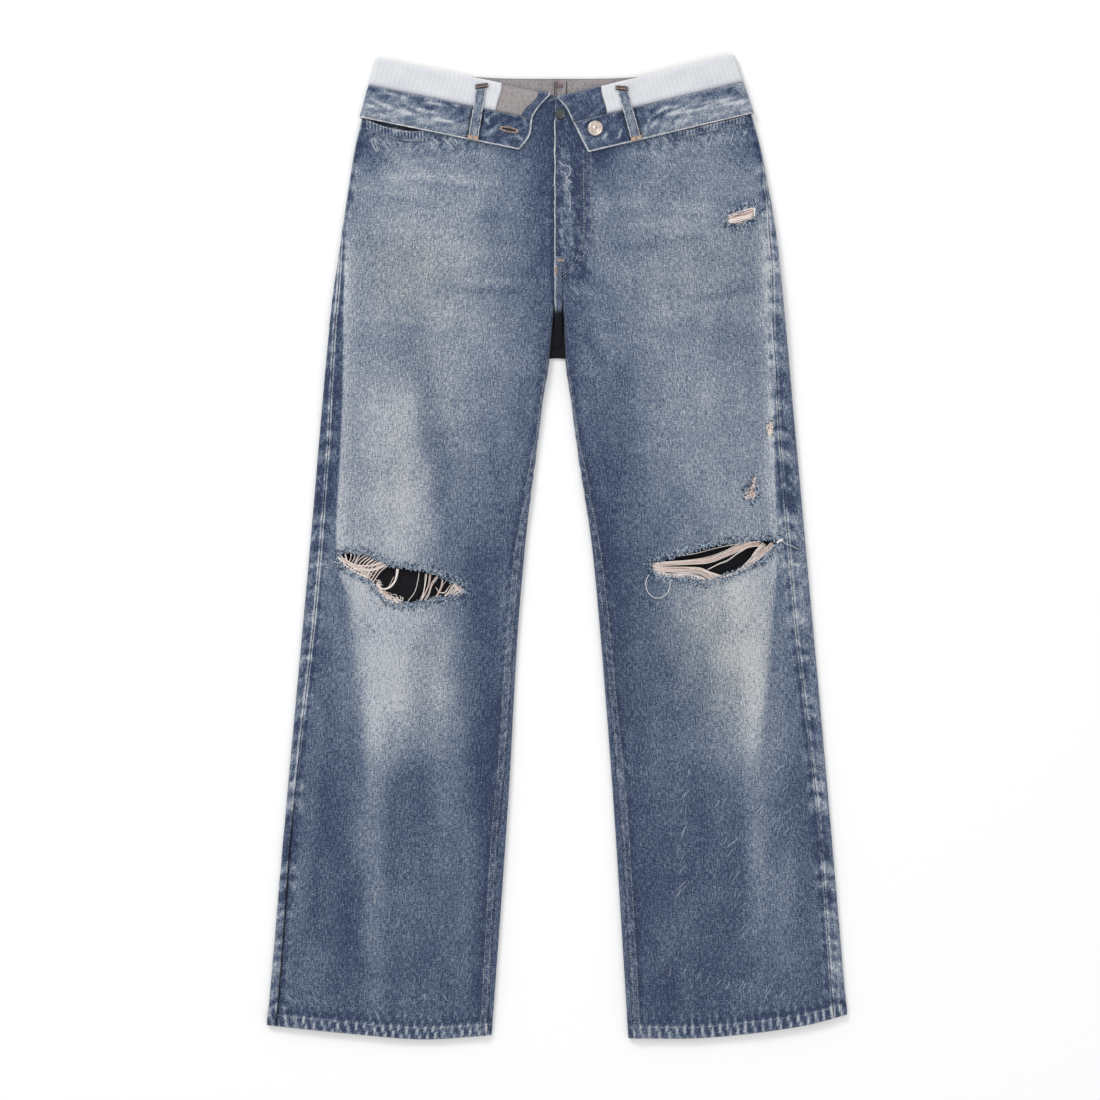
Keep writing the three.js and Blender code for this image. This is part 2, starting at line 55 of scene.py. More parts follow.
# Ripped jeans, laid flat on their back with the whole waist turned down once towards the outside.
# Lengths are in millimetres until a mesh is made. +X is across, +Y runs from the hems to the waist.
from types import SimpleNamespace

import bpy
import numpy as np

MM = 0.001

# ---------------------------------------------------------------- the cut, as in the frame
DENIM = 1.2
LINING = 1.0
BAND = 2.3
GAP = 0.3
FLAP = 30
BAND_HEIGHT = 37
FOLD_REACH = GAP / 2 + DENIM + GAP + LINING
LOOP_WIDTH = 10.5
LOOP_THICK = 1.2
HEM_END = (12.6, 14.6)  # the doubled hem ends between these heights
HEM_STITCH = 12.2
HEM_TWIST = 9.5  # from one ridge of the twisted hem to the next
FOOT = -540  # where a panel's rows start, before they are bent to the hem's own line
HIP = 200  # roughly how far across the waist's edge is
FLAP_H = GAP
LINING_H = FLAP_H + DENIM + GAP
LOOP_H = FLAP_H + BAND + GAP
WAIST_BODY = 432
FLY_BOTTOM, FLY_ROLL = 294, 262
CROTCH_TOP, CROTCH_BOTTOM = 206.9, 206.1


def lerp(a, b, s):
    return a + (b - a) * s


def smooth(t, low, high):
    """0 below low, 1 above high, eased between."""
    s = np.clip((t - low) / (high - low), 0, 1)
    return s * s * (3 - 2 * s)


def below(t, low, high):
    """1 below low, 0 above high, eased between."""
    return 1 - smooth(t, low, high)


def bell(t):
    return np.exp(-(t**2))


def spans(pairs, t):
    at, value = (np.array(column, float) for column in zip(*pairs))
    i = np.clip(np.searchsorted(at, t, side="right") - 1, 0, len(at) - 2)
    s = np.clip((t - at[i]) / (at[i + 1] - at[i]), 0, 1)
    return at, value, i, s


def eased(*pairs):
    """Level at each pair and eased between them."""

    def value_at(t):
        _, value, i, s = spans(pairs, np.asarray(t, float))
        return lerp(value[i], value[i + 1], s * s * (3 - 2 * s))

    return value_at


def through(*pairs):
    """A smooth curve through the pairs."""

    def value_at(t):
        at, value, i, s = spans(pairs, np.asarray(t, float))
        back, ahead = np.maximum(np.arange(len(at)) - 1, 0), np.minimum(np.arange(len(at)) + 1, len(at) - 1)
        slope = (value[ahead] - value[back]) / (at[ahead] - at[back])
        run, rise = at[i + 1] - at[i], value[i + 1] - value[i]
        bend = s * (1 - s) * ((1 - s) * (slope[i] * run - rise) - s * (slope[i + 1] * run - rise))
        return lerp(value[i], value[i + 1], s) + bend

    return value_at


RIGHT = SimpleNamespace(
    name="right",
    sign=-1,
    edge=through((-526, 318.5), (-280, 297), (-14, 272.5), (250, 249), (338, 237), (430, 223), (472, 213.5),
        (537, 196)),
    inner=through((-540, 72), (-280, 53.5), (-100, 43.5), (0, 35), (74, 27), (162, 16), (208, 8.6), (265, 3),
        (300, -2), (540, -2)),
    fly_edge=2.55,
    side_seam=eased((-526, 12), (-280, 10), (-60, 14), (100, 13), (180, 11), (260, 8.5), (372, 0)),
    inseam=eased((-540, 6.5), (-320, 9.5), (-200, 6), (-20, 5), (60, 0), (130, -4), (235, -3)),
    hem=through((72, -536.5), (146, -541), (220, -535.5), (318.5, -525.5)),
    fold=(496.4, 0.203),
    flap_end=through((0, 7.4), (16, 20), (FLAP, 27), (FLAP + 18, 29.7), (FLAP + BAND_HEIGHT, 41.5)),
    lining_end=eased((0, 60.5), (FLAP, 67)),
    facing_end=eased((0, 20.5), (FLAP, 39)),
    loop=(82.5, 92),
    pocket=(146, 209, 4.5, 11),
    # the sharp edge of the fade: where it runs, how wide and how strong it is, how pale the strip beyond it
    # is, and how much paler the cloth is just before it
    crease=through((-300, 209), (-200, 218), (-100, 225), (-60, 229), (-30, 238), (10, 242.5), (90, 238.5),
        (180, 235), (345, 233.5)),
    crease_width=eased((-300, 34), (-75, 20), (-32, 5), (-5, 2.4), (345, 2)),
    crease_live=eased((-420, 0), (-300, 0.75), (-60, 1), (330, 1), (365, 0)),
    beyond=eased((-540, 0.42), (-250, 0.34), (-150, 0.36), (-20, 0.38), (60, 0.22), (200, 0.14), (345, 0.3)),
    glow=0.3,
    # fades: middle across and up, reach across and up, strength
    fades=((150, 270, 112, 190, 0.44), (140, 425, 110, 60, 0.2), (190, 80, 58, 130, 0.4),
        (176, -105, 66, 88, 0.62), (176, -185, 46, 60, 0.34), (201, -320, 15, 190, 0.2),
        (128, -190, 22, 90, 0.2), (112, -300, 26, 60, 0.1), (56, -120, 9, 130, 0.2),
        (150, 436, 64, 26, -0.2), (166, 206, 32, 44, -0.24), (160, 34, 40, 50, 0.22), (92, 52, 22, 70, 0.18),
        (238, 20, 18, 60, 0.22), (214, -30, 14, 40, 0.15), (224, -50, 16, 40, 0.18),
        (150, -130, 22, 44, -0.14), (200, -220, 12, 70, 0.14), (70, -270, 22, 70, -0.12),
        (222, -350, 14, 80, -0.12), (238, -415, 16, 60, -0.12), (40, 170, 34, 120, 0.14),
        (120, 316, 40, 22, 0.08), (205, 425, 26, 26, -0.12), (168, 445, 14, 6, -0.22),
        (216, 442, 9, 9, -0.2), (150, 434, 9, 5, -0.12), (140, 145, 14, 50, -0.17),
        (100, -400, 10, 90, 0.12), (102, -205, 12, 40, 0.1)),
    creams=((172, 302, 48, 46, 0.9), (150, 150, 40, 120, 0.4), (140, -150, 34, 80, 0.5),
        (190, 60, 40, 80, 0.25), (110, 300, 70, 60, 0.35)),
)
LEFT = SimpleNamespace(name="left", sign=1, edge=through((-514, 318.5), (-280, 298.5), (-14, 274.5),
    (250, 250.5), (338, 241.5), (430, 225), (472, 214), (540, 192)),
    inner=through((-540, 78.5), (-280, 62), (-100, 48), (0, 38.5), (74, 28), (162, 16), (208, 9.6), (265, 6),
    (310, -7), (540, -7)), fly_edge=-2.25, side_seam=eased((-514, 16), (-320, 14), (-60, 20.5), (100, 20.5),
    (210, 18), (335, 10), (390, 5), (430, 0)), inseam=eased((-540, 7), (-320, 8), (-100, 4.5), (-20, 3),
    (60, 0), (130, -4), (235, -3)), hem=through((78.5, -540), (166, -539), (266, -527), (318.5, -514)),
    fold=(493.9, 0.237), flap_end=through((0, 0.6), (12, 9.6), (FLAP, 17.6), (FLAP + BAND_HEIGHT, 34.6)),
    lining_end=eased((0, 48.6), (FLAP, 54.8)), facing_end=eased((0, 48.2), (FLAP, 54.4)), loop=(71, 87),
    pocket=(133, 207, 0.5, 8), crease=through((-300, 214), (-250, 219), (-200, 226), (-150, 231.5),
    (-103, 235.5), (-60, 238.5), (0, 242.5), (100, 238.5), (200, 239), (250, 235), (300, 234), (385, 233)),
    crease_width=eased((-300, 40), (-200, 22), (-140, 6), (0, 4), (385, 2.4)),
    crease_live=eased((-330, 0), (-250, 0.7), (-140, 1), (330, 1), (400, 0)),
    beyond=eased((-540, 0.3), (-300, 0.44), (-200, 0.48), (-60, 0.44), (0, 0.54), (30, 0.54), (90, 0.36),
    (200, 0.36), (385, 0.42)), glow=0.34, fades=((150, 330, 112, 150, 0.4), (195, 130, 86, 150, 0.4),
    (207, -80, 46, 92, 0.62), (213, -190, 26, 70, 0.36), (150, -70, 50, 60, 0.24), (222, -320, 13, 150, 0.2),
    (246, -400, 16, 90, 0.12), (120, -150, 40, 120, 0.08), (145, -490, 50, 40, -0.1),
    (195, 190, 34, 90, -0.16), (180, 290, 50, 40, -0.1), (45, 425, 14, 30, -0.2), (168, -205, 30, 60, 0.2),
    (185, -84, 18, 30, -0.14), (95, 110, 34, 80, 0.14), (36, 180, 22, 80, 0.18), (46, 365, 12, 34, 0.2),
    (85, 322, 36, 12, -0.12), (190, 366, 30, 26, -0.16), (160, 228, 34, 34, -0.18), (70, 410, 26, 30, -0.04),
    (205, 440, 20, 16, -0.1)), creams=((190, -110, 50, 110, 0.9), (110, -120, 50, 90, 0.35),
    (190, 300, 60, 50, 0.35),
        (120, 300, 60, 60, 0.35), (130, -90, 40, 60, 0.3)),
)
SIDES = (RIGHT, LEFT)

back_waist = through((0, 515), (60, 515.5), (110, 519), (160, 527))
back_level = eased((200, 0), (245, 1.5), (405, 1.5), (WAIST_BODY, 4.1))
front_level = eased((-540, 5), (-250, 5.6), (20, 6.4), (140, 7.5), (215, 10), (255, 10), (330, 8.4),
    (400, 7.5), (WAIST_BODY, 7.1))
fullness = eased((-540, 1), (-250, 1.8), (0, 1.8), (150, 3), (280, 3), (380, 1.2), (WAIST_BODY, 0))
seat_ease = eased((185, 0), (CROTCH_BOTTOM, 1.5))


def yoke_seam(across):
    return 437 + 0.123 * across


def turn_radius(y):
    return (front_level(y) - back_level(y)) / 2


def quarter(y):
    return turn_radius(y) * np.pi / 2


WAIST_R = float(turn_radius(WAIST_BODY))
WAIST_Q = float(quarter(WAIST_BODY))

# ---------------------------------------------------------------- soft noise and creases


def soft_noise(u, v, seed, cells=64):
    """Smooth noise from 0 to 1 on a lattice of unit cells."""
    lattice = np.random.default_rng(seed).random((cells, cells))
    i, j = np.floor(u).astype(int), np.floor(v).astype(int)
    s, t = smooth(u - i, 0, 1), smooth(v - j, 0, 1)
    at = lambda a, b: lattice[(i + a) % cells, (j + b) % cells]
    return lerp(lerp(at(0, 0), at(1, 0), s), lerp(at(0, 1), at(1, 1), s), t)


def from_line(x, y, line):
    """Distance from a segment, and 1 along it falling to 0 at its ends."""
    (x0, y0), (x1, y1) = line
    dx, dy = x1 - x0, y1 - y0
    along = ((x - x0) * dx + (y - y0) * dy) / (dx * dx + dy * dy)
    held = np.clip(along, 0, 1)
    away = np.hypot(x - (x0 + held * dx), y - (y0 + held * dy))
    return away, smooth(held, 0, 0.3) * below(held, 0.7, 1)


# Main creases: a line, half its width, how high it stands (or how deep it sinks), how pale its top is worn.
CREASES = (
    # the long soft folds down the legs
    (((-236, 300), (-243, -5)), 9, 1.6, 0.0),
    (((-226, -70), (-203, -500)), 15, 2.6, 0.05),
    (((-150, -80), (-142, -330)), 16, -1.6, -0.06),
    (((-122, -60), (-104, -470)), 14, 1.5, 0.05),
    (((-98, 110), (-84, -150)), 16, -1.5, -0.09),
    (((-128, 150), (-128, 20)), 12, -0.9, -0.12),
    (((238, 330), (242, 10)), 9, 1.6, 0.0),
    (((238, -30), (214, -300)), 10, 2.4, 0.04),
    (((100, 40), (112, -230)), 18, -1.6, -0.07),
    (((150, -120), (160, -420)), 20, -1.2, -0.05),
    (((250, -260), (262, -500)), 15, 1.4, 0.05),
    (((84, 200), (70, 20)), 16, -1.3, -0.07),
    (((205, -120), (226, -470)), 13, 1.2, 0.03),
    # whiskers across the hips
    (((-209, 410), (-64, 399)), 6, 0.3, 0.08),
    (((-221, 389), (-108, 366)), 4, -0.4, -0.13),
    (((-177, 402), (-64, 388)), 4, -0.4, -0.1),
    (((-190, 354), (-130, 342)), 7, 0.5, 0.06),
    (((-102, 363), (-36, 361)), 5, -0.3, -0.09),
    (((-200, 332), (-60, 328)), 6, 0.4, 0.07),
    (((-121, 293), (-20, 290)), 5, 0.5, 0.11),
    (((-125, 281), (-20, 278)), 4, -0.5, -0.12),
    (((-150, 255), (-60, 249)), 3, 0.4, 0.06),
    (((-224, 256), (-90, 236)), 3, 0.4, 0.06),
    (((-205, 248), (-110, 231)), 3, -0.3, -0.07),
    (((39, 375), (112, 378)), 6, 0.4, 0.1),
    (((100, 378), (190, 368)), 7, 0.4, 0.08),
    (((49, 352), (165, 359)), 6, 0.4, 0.1),
    (((50, 327), (124, 332)), 5, -0.4, -0.1),
    (((98, 332), (190, 341)), 5, -0.4, -0.1),
    (((140, 269), (226, 284)), 4, -0.5, -0.13),
    (((145, 261), (228, 276)), 4, 0.4, 0.09),
    (((26, 240), (54, 190)), 7, -0.8, -0.12),
    (((38, 244), (70, 196)), 6, 0.6, 0.06),
    # drag lines from the pockets and the crotch
    (((-200, 440), (-128, 398)), 4, 0.8, 0.1),
    (((-178, 447), (-112, 412)), 4, 0.7, 0.1),
    (((-208, 430), (-168, 392)), 4, 0.5, 0.06),
    (((-20, 250), (-60, 190)), 7, 0.8, 0.03),
    (((24, 262), (70, 205)), 7, 0.8, 0.03),
    (((12, 290), (52, 268)), 4, 0.5, 0.1),
    (((200, 455), (150, 436)), 5, 0.6, 0.06),
)


def creases(x, y):
    """How high the cloth's creases stand at points of the front, and how much they pale it."""
    height, pale = np.zeros_like(x), np.zeros_like(x)
    for line, width, rise, worn in CREASES:
        away, held = from_line(x, y, line)
        swell = bell(away / width) * held
        height += rise * swell
        pale += worn * swell
    return height, pale


def relief(x, y):
    """Height that every layer on the front takes on: creases and a slow unevenness."""
    height, _ = creases(x, y)
    uneven = soft_noise(x / 46 + 7, y / 90 + 11, 3) - 0.5
    ripple = soft_noise(x / 17 + 3, y / 40 + 5, 4) - 0.5
    return (height + 1.1 * uneven + 0.5 * ripple + 0.5) * (1 - 0.75 * smooth(y, 405, 440))


# ---------------------------------------------------------------- the garment's skin


def place(x, y, z, front):
    """Points with the front's relief added by how far they face up."""
    raised = z + np.maximum(relief(x, y), -1.2) * front
    return np.stack([x, y, raised], axis=-1)


def leg_point(side, c, y, lift):
    """A point `lift` off the cloth. c goes round the leg from its outer edge, and is over 0 in front."""
    c, y, lift = np.broadcast_arrays(np.asarray(c, float), np.asarray(y, float), np.asarray(lift, float))
    radius, q = turn_radius(y), quarter(y)
    edge, inner = side.edge(y), side.inner(y)
    middle = (front_level(y) + back_level(y)) / 2
    flat = np.maximum(edge - inner - 2 * radius, 0)
    m, s = np.abs(c), np.where(c < 0, -1.0, 1.0)
    out = np.clip(m / radius, 0, np.pi / 2)
    into = np.clip((m - q - flat) / radius, 0, np.pi)
    reach = radius + lift
    across = np.where(m <= q, edge - radius + reach * np.cos(out),
        np.where(m <= q + flat, edge - radius - (m - q), inner + radius - reach * np.sin(into)
        + np.maximum(m - 3 * q - flat, 0)))
    up = np.where(m <= q, np.sin(out), np.where(m <= q + flat, 1.0, np.cos(into))) * s
    share = np.clip((across - inner) / (edge - inner), 0, 1)
    crown = fullness(y) * 4 * share * (1 - share) * (up > 0.5)
    return place(side.sign * across, y, middle + reach * up + crown, np.clip(up, 0, 1))


def across_to_c(side, across, y):
    return side.edge(y) - turn_radius(y) - across + quarter(y)


def fold_line(side, across):
    middle, slope = side.fold
    return middle + slope * across - FOLD_REACH


def band_foot(side, across):
    """Height of the waistband's lower edge."""
    return fold_line(side, across) - FLAP - BAND_HEIGHT


def waist_edge(side, drop):
    """How far across the waist's edge is at a drop."""
    return side.edge(fold_line(side, HIP) - drop)


def waist_point(side, c, drop, lift, rise=0.0):
    """A point of the turned-down waist, `drop` below the middle of its fold and `lift` off the body."""
    c, drop, lift, rise = np.broadcast_arrays(*(np.asarray(a, float) for a in (c, drop, lift, rise)))
    edge_y = fold_line(side, waist_edge(side, drop)) - drop
    edge = side.edge(edge_y)
    m = np.abs(c)
    flat = m > WAIST_Q
    across = np.where(flat, edge - WAIST_R - (m - WAIST_Q), edge)
    back = lerp(back_waist(across) - FOLD_REACH, fold_line(side, across), smooth(across, 110, 190))
    y = np.where(flat, np.where(c > 0, fold_line(side, across), back), fold_line(side, edge)) - drop
    low, high = float(back_level(WAIST_BODY)), float(front_level(WAIST_BODY))
    turn = np.clip(c / WAIST_R, -np.pi / 2, np.pi / 2)
    x = np.where(flat, across, edge - WAIST_R + (WAIST_R + lift) * np.cos(turn))
    z = (low + high) / 2 + (WAIST_R + lift) * np.sin(turn)
    return place(side.sign * x, y + rise, z, np.clip(np.sin(turn), 0, 1))


def at_back(side, across, y, lift):
    """Points of a back, given across and up."""
    return leg_point(side, -across_to_c(side, across, y), y, lift)


def waist_c(side, across, drop):
    """Round-the-waist measure of a distance across on the flat front."""
    edge_y = fold_line(side, waist_edge(side, drop)) - drop
    return side.edge(edge_y) - WAIST_R - across + WAIST_Q


def flap_c(side, drop):
    """Round-the-waist measure of the waist's front end."""
    return waist_c(side, side.flap_end(drop), drop)


def over_fold(side, c, turn, depth):
    """Cloth going over the fold: turn runs from 0 on the body to pi on the flap."""
    reach = GAP / 2 + depth
    return waist_point(side, c, 0, GAP / 2 - reach * np.cos(turn), reach * np.sin(turn))


# ---------------------------------------------------------------- making meshes


def add_object(name, data):
    made = bpy.data.objects.new(name, data)
    bpy.context.scene.collection.objects.link(made)
    return made


def put(name, points, faces, materials, face_material=None, uv=None, wash=None):
    """A finished piece: points in millimetres, at the origin, riding on the one body."""
    mesh = bpy.data.meshes.new(name)
    mesh.from_pydata((np.asarray(points, float) * MM).tolist(), [], faces)
    for material in materials:
        mesh.materials.append(material)
    if face_material is not None:
        mesh.polygons.foreach_set("material_index", np.asarray(face_material, np.int32))
    mesh.polygons.foreach_set("use_smooth", np.ones(len(mesh.polygons), bool))
    corner = np.empty(len(mesh.loops), np.int32)
    mesh.loops.foreach_get("vertex_index", corner)
    if uv is not None:
        layer = mesh.uv_layers.new(name="cloth")
        layer.data.foreach_set("uv", (np.asarray(uv, float)[corner] * MM).ravel())
    if wash is not None:
        layer = mesh.color_attributes.new(name="wash", type="FLOAT_COLOR", domain="POINT")
        layer.data.foreach_set("color", np.clip(np.asarray(wash, float), 0, 1).ravel())
    mesh.update()
    piece = add_object(name, mesh)
    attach(piece, "root")
    return piece


def closed_sheet(outer, inner, keep=None):
    """Points and faces of a wall between two grids, with rims along every open edge."""
    rows, columns = outer.shape[:2]
    index = np.arange(rows * columns).reshape(rows, columns)
    quads = np.stack([index[:-1, :-1], index[:-1, 1:], index[1:, 1:], index[1:, :-1]], -1).reshape(-1, 4)
    if keep is not None:
        quads = quads[keep.ravel()]
    flat = outer.reshape(-1, 3)
    a, b, c, d = (flat[quads[:, k]] for k in range(4))
    normal = np.cross(c - a, d - b)
    thick = (flat - inner.reshape(-1, 3))[quads[:, 0]]
    if (normal * thick).sum() < 0:
        quads = quads[:, ::-1]
    count = rows * columns
    starts, ends = quads.ravel(), np.roll(quads, -1, axis=1).ravel()
    code, back = starts * count + ends, ends * count + starts
    rim = ~np.isin(code, back)
    starts, ends = starts[rim], ends[rim]
    rims = np.stack([ends, starts, starts + count, ends + count], -1)
    faces = np.concatenate([quads, quads[:, ::-1] + count, rims])
    points = np.concatenate([flat, inner.reshape(-1, 3)])
    kinds = np.concatenate([np.zeros(len(quads), int), np.ones(len(quads), int), np.zeros(len(rims), int)])
    used, packed = np.unique(faces, return_inverse=True)
    return points[used], packed.reshape(-1, 4).tolist(), kinds, used


def sheet_piece(node, outer, inner, uv, wash, wash_inner, materials, keep=None):
    """The cloth that stands for a node: a wall between two grids of points."""
    points, faces, kinds, used = closed_sheet(outer, inner, keep)
    uv2 = np.concatenate([uv.reshape(-1, 2)] * 2)[used]
    wash2 = np.concatenate([wash.reshape(-1, 4), wash_inner.reshape(-1, 4)])[used]
    piece = put(f"{node}_cloth", points, faces, materials, kinds, uv2, wash2)
    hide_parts(node)
    return piece


def washes(fade, cream=0.0, seam=0.0, shade=0.0):
    """The four masks a cloth piece carries: fade, cream tint, seam wear and shade."""
    return np.stack(np.broadcast_arrays(*(np.asarray(a, float) for a in (fade, cream, seam, shade))), -1)


def spacing(length, fine, coarse, border):
    """Stations from 0 to 1 along a length, fine near both ends."""
    ends = np.linspace(0, border, max(int(border / fine), 1) + 1)
    middle = np.linspace(border, length - border, max(int((length - 2 * border) / coarse), 1) + 1)
    return np.concatenate([ends, middle[1:-1], (length - ends)[::-1]]) / length


def heights(low, high, coarse, fine, bands):
    """Heights from low to high, finer inside the bands."""
    out = [low]
    while out[-1] < high:
        inside = any(a <= out[-1] <= b for a, b in bands)
        out.append(out[-1] + (fine if inside else coarse))
    out = np.array(out)
    return low + (out - low) * (high - low) / (out[-1] - low)


# ---------------------------------------------------------------- rips


def closed_curve(points, steps=6):
    """A smooth closed outline through the points."""
    p = np.array(points, float)
    before, after, following = np.roll(p, 1, 0), np.roll(p, -1, 0), np.roll(p, -2, 0)
    t = np.arange(steps)[:, None, None] / steps
    curve = 0.5 * (2 * p + (after - before) * t + (2 * before - 5 * p + 4 * after - following) * t**2
        + (3 * p - before - 3 * after + following) * t**3)
    return curve.transpose(1, 0, 2).reshape(-1, 2)


KNEE_RIGHT = closed_curve([(-240, -11), (-226, -6.5), (-204, -11), (-182, -20.5), (-148, -26), (-131, -31),
    (-114, -39.5), (-102.5, -47), (-114, -54), (-131, -56.5), (-162, -62.5), (-179, -61), (-190.5, -53),
    (-204, -38.5), (-232, -23)])
KNEE_LEFT = closed_curve([(103, -19), (120, -14), (140, -7.5), (170, 0.5), (193, 4), (215, 7), (232, 7.3),
    (243, 5.5), (226.5, -12), (210, -21), (181.5, -33), (164.5, -38), (142, -33), (114, -32)])
HIP_RIP = closed_curve([(186.3, 362), (199.5, 365.6), (213.8, 373), (218, 370), (217, 361.5), (201, 352.8),
    (188, 354)])
THIGH_RIP = closed_curve([(217.4, 79), (214.6, 73), (212.6, 67), (207, 62), (206.5, 53), (217.5, 51.5),
    (217.6, 60), (218.8, 70)])
SIDE_RIP = closed_curve([(235.6, 138), (229.6, 130.8), (231.6, 122), (236.6, 122), (236.6, 132)])
RIPS = {"right": (KNEE_RIGHT,), "left": (KNEE_LEFT, HIP_RIP, THIGH_RIP, SIDE_RIP)}


def outline_distance(x, y, outline):
    """Signed distance from an outline, negative inside, and the nearest point on it."""
    a, b = outline, np.roll(outline, -1, 0)
    best, near = np.full(x.shape, np.inf), np.zeros(x.shape + (2,))
    inside = np.zeros(x.shape, bool)
    for (x0, y0), (x1, y1) in zip(a, b):
        dx, dy = x1 - x0, y1 - y0
        along = np.clip(((x - x0) * dx + (y - y0) * dy) / (dx * dx + dy * dy + 1e-9), 0, 1)
        px, py = x0 + along * dx, y0 + along * dy
        away = np.hypot(x - px, y - py)
        closer = away < best
        best = np.where(closer, away, best)
        near[closer] = np.stack([px, py], -1)[closer]
        crosses = (y0 > y) != (y1 > y)
        with np.errstate(divide="ignore", invalid="ignore"):
            inside ^= crosses & (x < dx * (y - y0) / (dy if dy else 1e-9) + x0)
    return np.where(inside, -best, best), near


def cut_rips(side, outer, inner):
    """Slides grid points onto the rips' outlines and says which cells are left."""
    keep = np.ones((outer.shape[0] - 1, outer.shape[1] - 1), bool)
    for outline in RIPS[side.name]:
        low, high = outline.min(0) - 8, outline.max(0) + 8
        x, y = outer[..., 0], outer[..., 1]
        near_it = (x > low[0]) & (x < high[0]) & (y > low[1]) & (y < high[1])
        rows, columns = np.where(near_it)
        r0, r1, c0, c1 = rows.min(), rows.max() + 1, columns.min(), columns.max() + 1
        block = (slice(r0, r1), slice(c0, c1))
        away, near = outline_distance(x[block], y[block], outline)
        snap = np.abs(away) < 1.1
        for grid in (outer, inner):
            grid[block][snap, :2] = near[snap]
        middle = outer[block][:-1, :-1] / 4 + outer[block][1:, :-1] / 4
        middle = middle + outer[block][:-1, 1:] / 4 + outer[block][1:, 1:] / 4
        gone, _ = outline_distance(middle[..., 0], middle[..., 1], outline)
        keep[r0:r1 - 1, c0:c1 - 1] &= gone > 0
    return keep


# ---------------------------------------------------------------- how the cloth is washed


def spots(across, y, marks):
    total = np.zeros(np.broadcast(across, y).shape)
    for middle, up, wide, tall, strength in marks:
        far = ((across - middle) / wide) ** 2 + ((y - up) / tall) ** 2
        total = total + strength * np.exp(-far ** 1.25)
    return total


def front_wash(side, x, y):
    """Fade and cream tint of a front panel."""
    across = side.sign * x
    edge, inner = side.edge(y), side.inner(y)
    share = np.clip((across - inner) / (edge - inner), 0, 1)
    fade = 0.1 + 0.12 * smooth(share, 0, 0.3) + spots(across, y, side.fades)
    fade += creases(x, y)[1]
    past = smooth(across, side.crease(y) - side.crease_width(y) / 2,
        side.crease(y) + side.crease_width(y) / 2)
    short = side.crease(y) - across
    glow_reach, dim_from, dim_to = 11, 12, 44
    fade = fade + side.glow * bell(short / glow_reach) * (short > 0) * side.crease_live(y) * smooth(y, -70, 0)
    strip = side.beyond(y) - 0.22 * smooth(-short, dim_from, dim_to)
    fade = lerp(fade, strip, past * side.crease_live(y))
    fade += 0.10 * (soft_noise(x / 55, y / 75, 21) - 0.5) + 0.10 * (soft_noise(x / 18, y / 60, 22) - 0.5)
    fade += 0.07 * (soft_noise(x / 60, y / 9, 23) - 0.5) * smooth(y, 120, 250)
    cream = np.clip(spots(across, y, side.creams) * (1 - past), 0, 1)
    return fade, cream


def near_seam(distance, reach):
    return below(distance, 0.35 * reach, reach)


def ripple_along(s, length, seed):
    """Puckers along a seam, from -1 to 1."""
    return 2 * soft_noise(s / length, np.zeros_like(s) + seed, seed) - 1


# ---------------------------------------------------------------- materials


def tint(red, green, blue):
    """A colour from its 0 to 255 screen values."""
    s = np.array([red, green, blue]) / 255
    return (*np.where(s <= 0.04045, s / 12.92, ((s + 0.055) / 1.055) ** 2.4).tolist(), 1.0)


class Tree:
    """Short ways to add nodes to a tree and join them."""

    def __init__(self, tree):
        self.tree = tree

    def add(self, kind, inputs=None, **settings):
        node = self.tree.nodes.new(kind)
        for name, value in settings.items():
            setattr(node, name, value)
        for name, value in (inputs or {}).items():
            self.set(node.inputs[name], value)
        return node

    def set(self, socket, value):
        if isinstance(value, bpy.types.NodeSocket):
            self.tree.links.new(value, socket)
        else:
            socket.default_value = value

    def math(self, operation, a, b=0.0, clamp=False):
        return self.add("ShaderNodeMath", {0: a, 1: b}, operation=operation, use_clamp=clamp).outputs[0]

    def noise(self, vector, size, detail=2.0, rough=0.5):
        """Noise whose blobs are `size` millimetres wide and tall."""
        scale = tuple(1 / (length * MM) for length in size) + (1.0,)
        place = self.add("ShaderNodeMapping", {"Vector": vector, "Scale": scale})
        made = self.add("ShaderNodeTexNoise", {"Vector": place.outputs[0], "Scale": 1.0, "Detail": detail,
            "Roughness": rough}, noise_dimensions="2D")
        return made.outputs[0]

    def around(self, noise, amount):
        """Noise spread evenly about zero."""
        return self.math("MULTIPLY", self.math("SUBTRACT", noise, 0.5), amount)

    def total(self, *terms):
        result = terms[0]
        for term in terms[1:]:
            result = self.math("ADD", result, term)
        return result

    def mix(self, kind, factor, a, b):
        node = self.add("ShaderNodeMix", data_type="RGBA", blend_type=kind)
        self.set(node.inputs["Factor"], factor)
        self.set(node.inputs["A"], a)
        self.set(node.inputs["B"], b)
        return node.outputs["Result"]

    def ramp(self, factor, *stops):
        """A colour ramp. Each stop is its position and its 0 to 255 screen values."""
        node = self.add("ShaderNodeValToRGB", {"Fac": factor})
        elements = node.color_ramp.elements
        while len(elements) < len(stops):
            elements.new(0.5)
        for element, (position, *screen) in zip(elements, stops):
            element.position = position
            element.color = tint(*screen)
        return node.outputs["Color"]


def node_group(name, tree_kind, inputs, outputs, build):
    """A node group with named sockets. build(tree, given) returns what goes to each of its outputs."""
    group = bpy.data.node_groups.new(name, tree_kind)
    for label, kind, value in inputs:
        socket = group.interface.new_socket(label, in_out="INPUT", socket_type=kind)
        if value is not None:
            socket.default_value = value
    for label, kind in outputs:
        group.interface.new_socket(label, in_out="OUTPUT", socket_type=kind)
    tree = Tree(group)
    results = build(tree, tree.add("NodeGroupInput").outputs)
    tree.add("NodeGroupOutput", results)
    return group


FLOAT, VECTOR = "NodeSocketFloat", "NodeSocketVector"


